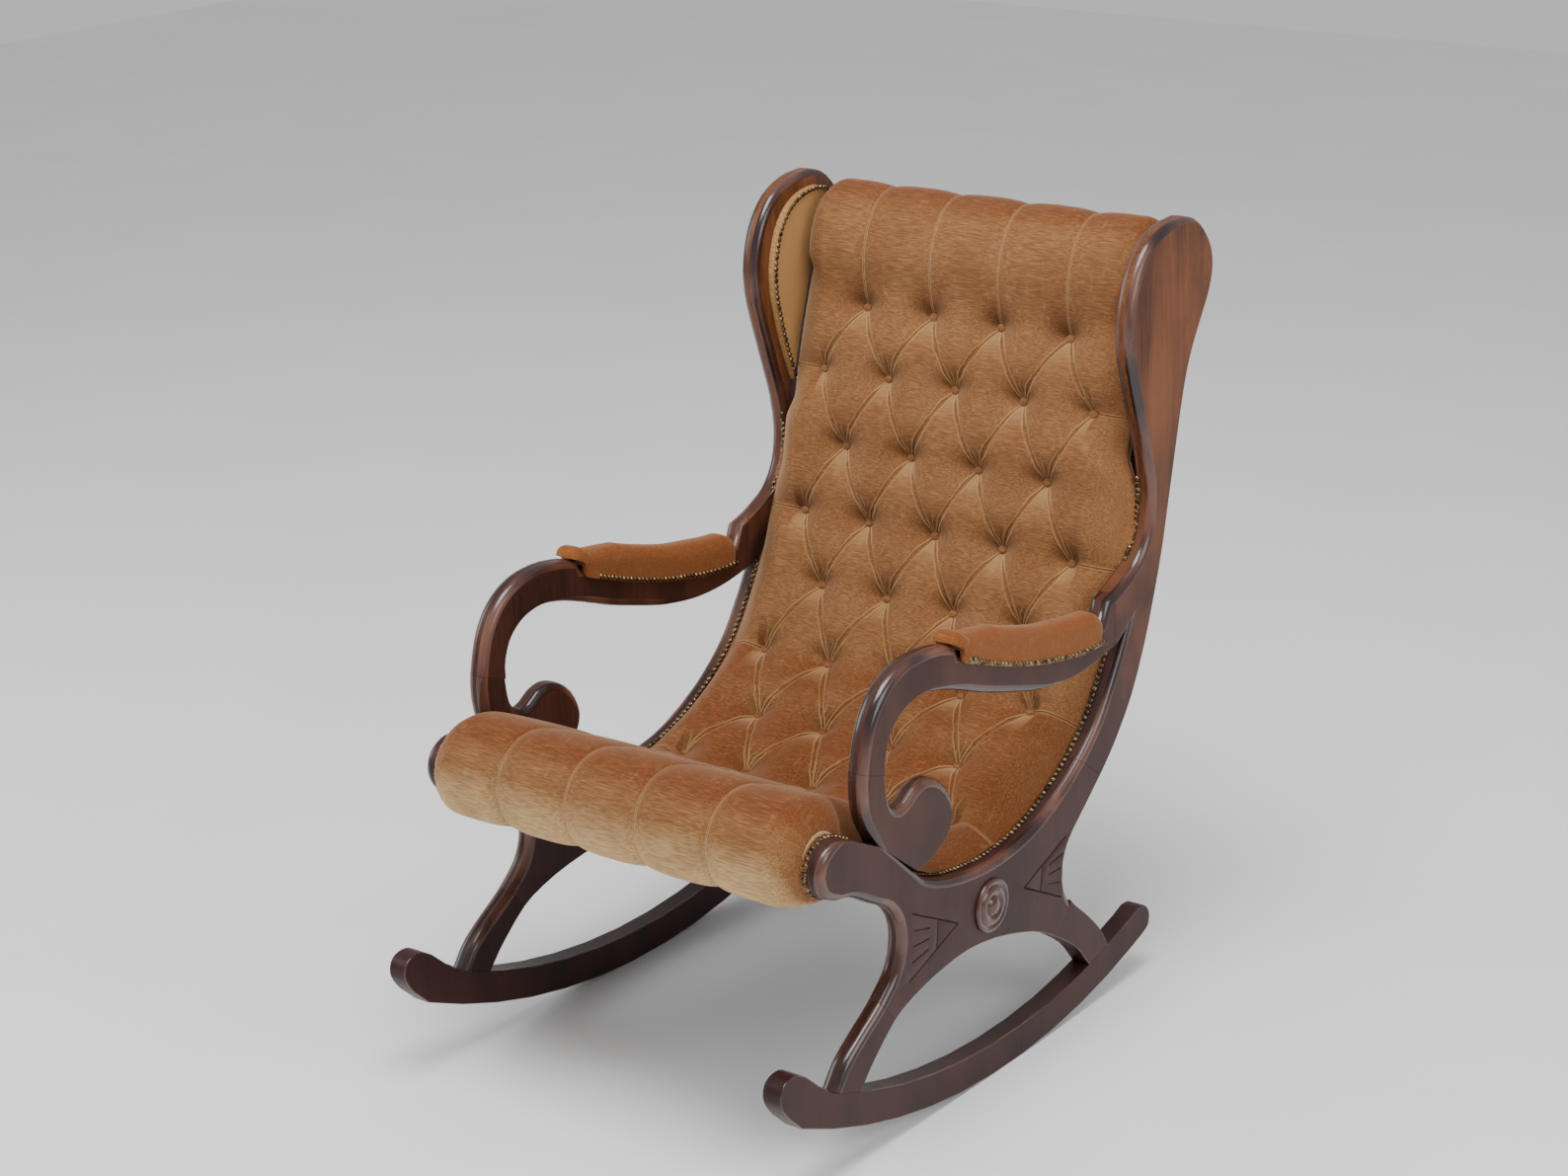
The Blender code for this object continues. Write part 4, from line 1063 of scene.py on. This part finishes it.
WING_EDGE = [(0.450, 0.930), (0.430, 0.953), (0.395, 0.966), (0.350, 0.958), (0.318, 0.932),
             (0.301, 0.889), (0.299, 0.845), (0.310, 0.795), (0.325, 0.749), (0.339, 0.716)]
ROLL_EDGE = [(-0.300, 0.402), (-0.325, 0.414), (-0.350, 0.419), (-0.373, 0.408),
             (-0.382, 0.385), (-0.373, 0.361)]
brass, tree, shader = new_material("antique_brass_heads", (0.22, 0.15, 0.08), 0.38, 1.0)
tarnish = stretched_noise(tree, (1, 1, 1), (0, 0, 0), 160.0, 3.0)
tree.links.new(mix_colour(tree, remap(tree, tarnish, 0.35, 0.65), (0.040, 0.027, 0.017),
                          (0.26, 0.185, 0.10)), shader.inputs["Base Color"])
tree.links.new(remap(tree, tarnish, 0.3, 0.7, 0.50, 0.24), shader.inputs["Roughness"])
bpy.ops.object.select_all(action="DESELECT")
bpy.ops.mesh.primitive_uv_sphere_add(segments=10, ring_count=6, radius=NAIL_RADIUS)
nail = bpy.context.object
bpy.ops.object.mode_set(mode="EDIT")
bpy.ops.mesh.select_all(action="SELECT")
bpy.ops.mesh.bisect(plane_co=(0, 0, 0), plane_no=(0, 0, -1), clear_outer=True, use_fill=True)
bpy.ops.mesh.select_all(action="SELECT")
bpy.ops.transform.resize(value=(1, 1, NAIL_DOME))
bpy.ops.object.mode_set(mode="OBJECT")
bpy.ops.object.shade_smooth_by_angle(angle=math.radians(60))
nail.data.materials.append(brass)
large_nails = {"arm_outer_nails": [(-0.0860, 0.5565), (-0.0765, 0.5535)]}
# each row's line, its place across the chair, its height off the line, and which way it faces
nail_rows = {
    "wing_nails": (WING_EDGE, inner_x - 0.0106, 0.0, "inward"),
    "arm_outer_nails": (ARM_RECESS, outer_x + 0.0040, -0.0088, "outward"),
    "arm_inner_nails": (ARM_RECESS, inner_x - 0.0040, -0.0088, "inward"),
    "seat_nails": (SEAT_EDGE, inner_x + 0.0046, 0.0009, "up"),
    "back_nails": (BACK_EDGE, inner_x + 0.0042, 0.0002, "up"),
    "roll_nails": (ROLL_EDGE, inner_x + 0.0036, -0.0002, "down"),
}
for prefix, side in SIDES.items():
    for name, (line, nail_x, lift, facing) in nail_rows.items():
        places, outs, reach_on = even_points(smooth_curve(line), NAIL_PITCH)
        if name.startswith("arm") or facing == "down":
            outs = -outs
        heads = []
        for p, n, far in zip(places, outs, reach_on):
            slim = 1 - min(far / ARM_SLIM_END, 1) if name.startswith("arm") else 0.0
            y, z = p + n * (lift - FLAP_LONGER * slim)
            if facing in ("up", "down"):
                direction = Vector((0, n[0], n[1]))
            else:
                direction = Vector((side if facing == "outward" else -side, 0, 0))
            heads.append((Vector((side * nail_x, y, z)), direction, 1.0))
        for y, z in large_nails.get(name, ()):
            heads.append((Vector((side * nail_x, y, z)), Vector((side, 0, 0)), LARGE_NAIL))
        bpy.ops.object.select_all(action="DESELECT")
        for place, direction, size in heads:
            made = bpy.data.objects.new("head", nail.data.copy())
            turned = direction.to_track_quat("Z", "Y").to_matrix().to_4x4()
            made.data.transform(Matrix.Translation(place) @ turned @ Matrix.Scale(size, 4))
            bpy.context.scene.collection.objects.link(made)
            made.select_set(True)
        bpy.context.view_layer.objects.active = bpy.data.objects["head"]
        bpy.ops.object.join()
        joined = bpy.context.view_layer.objects.active
        joined.name = f"{prefix}_{name}_row"
        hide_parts(f"{prefix}_{name}")
        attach(joined, "root")
bpy.data.objects.remove(nail)


# ---- Outside back and bottom cloth --------------------------------------------------------
# The panel of velvet that closes the back, stretched from side to side over thin wadding, and
# the black cambric tacked under the seat to keep the dust in.
PADDING_BASE = 0.007      # the layers behind the frame's edge: stuffing, webbing, rail
WEBBING = 0.002
RAIL = 0.020
LAYER_GAP = 0.0003
CLOTH = 0.0009
CLOTH_STEP = 0.006
FULLNESS = 0.0012         # how far the middle of the cloth stands off
LUMBAR_PLACE = 9          # the point of PAD_LINE where the two cloths meet, on the lumbar rail
TOP_PLACE = (0.4005, 0.905)
TURNED_IN = 0.002
WING_PAD_FOOT = 0.700     # the outside back is narrower above this, between the wing pads
gauze, tree, shader = new_material("black_cambric", (0.02, 0.02, 0.022), 0.95)
weave = stretched_noise(tree, (1, 1, 1), (0, 0, 0), 1400.0, 2.0)
tree.links.new(mix_colour(tree, weave, (0.012, 0.012, 0.013), (0.05, 0.05, 0.052)),
               shader.inputs["Base Color"])
cloth_depth = PADDING_BASE + WEBBING + RAIL + 3 * LAYER_GAP
back_velvet = velvet("back_velvet", (0.24, 0.075, 0.016), (0.32, 0.13, 0.04), (0.5, 0.28, 0.1))
TOP_LINE = PAD_LINE + [(0.392, 0.885), (0.409, 0.925)]
whole_edge, whole_out, whole_along = even_points(smooth_curve(TOP_LINE), CLOTH_STEP)
joint_at, top_at = (whole_along[((whole_edge - np.array(p[:2])) ** 2).sum(axis=1).argmin()]
                    for p in (PAD_LINE[LUMBAR_PLACE], TOP_PLACE))
panels = (("outside_back_panel", "outside_back", joint_at + TURNED_IN, top_at - TURNED_IN,
           inner_x - 0.0130, 0.0115, back_velvet, "velvet"),
          ("seat_bottom_cloth", "bottom_cloth", TURNED_IN, joint_at - TURNED_IN,
           inner_x - CLEARANCE, 0.0, gauze, "dust_cloth"))
for name, node, start, end, reach, wider, look, slot_name in panels:
    bpy.ops.object.select_all(action="DESELECT")
    bpy.ops.mesh.primitive_grid_add(x_subdivisions=40,
                                    y_subdivisions=int((end - start) / CLOTH_STEP), size=1.0)
    cloth = bpy.context.object
    cloth.name = name
    for vertex in cloth.data.vertices:
        a = (vertex.co.x + 0.5) * 2 - 1
        b = vertex.co.y + 0.5
        place = start + (end - start) * b
        y = np.interp(place, whole_along, whole_edge[:, 0])
        z = np.interp(place, whole_along, whole_edge[:, 1])
        ny = np.interp(place, whole_along, whole_out[:, 0])
        nz = np.interp(place, whole_along, whole_out[:, 1])
        h = -cloth_depth - 0.0004 - (1 - a ** 8) * (1 - (2 * b - 1) ** 8) * FULLNESS
        below = min(max((WING_PAD_FOOT - z) / 0.025, 0), 1)
        vertex.co = (a * (reach + wider * below), y + ny * h, z + nz * h)
    thick = cloth.modifiers.new("cloth", "SOLIDIFY")
    thick.thickness = CLOTH
    thick.offset = 0
    pick(cloth)
    bpy.ops.object.modifier_apply(modifier="cloth")
    bpy.ops.object.shade_smooth_by_angle(angle=math.radians(50))
    bpy.ops.object.mode_set(mode="EDIT")
    bpy.ops.mesh.select_all(action="SELECT")
    bpy.ops.mesh.normals_make_consistent(inside=False)
    bpy.ops.object.mode_set(mode="OBJECT")
    cloth.data.materials.append(look)
    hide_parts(node)
    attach(cloth, "root")


# ---- Rails, dowels and webbing ------------------------------------------------------------
# Inside, plain beech rails dowelled between the side frames, and jute webbing stretched over
# them to carry the padding.
jute, tree, shader = new_material("jute_webbing", (0.30, 0.22, 0.12), 0.95)
strands = stretched_noise(tree, (0.1, 1, 1), (0, 0, 0), 500.0, 2.0)
tree.links.new(mix_colour(tree, strands, (0.20, 0.14, 0.07), (0.42, 0.31, 0.18)),
               shader.inputs["Base Color"])
for name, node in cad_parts.items():
    if node.hide_render:
        continue
    look = jute if "webbing" in name else bare_beech
    for place in node.material_slots:
        place.material = look
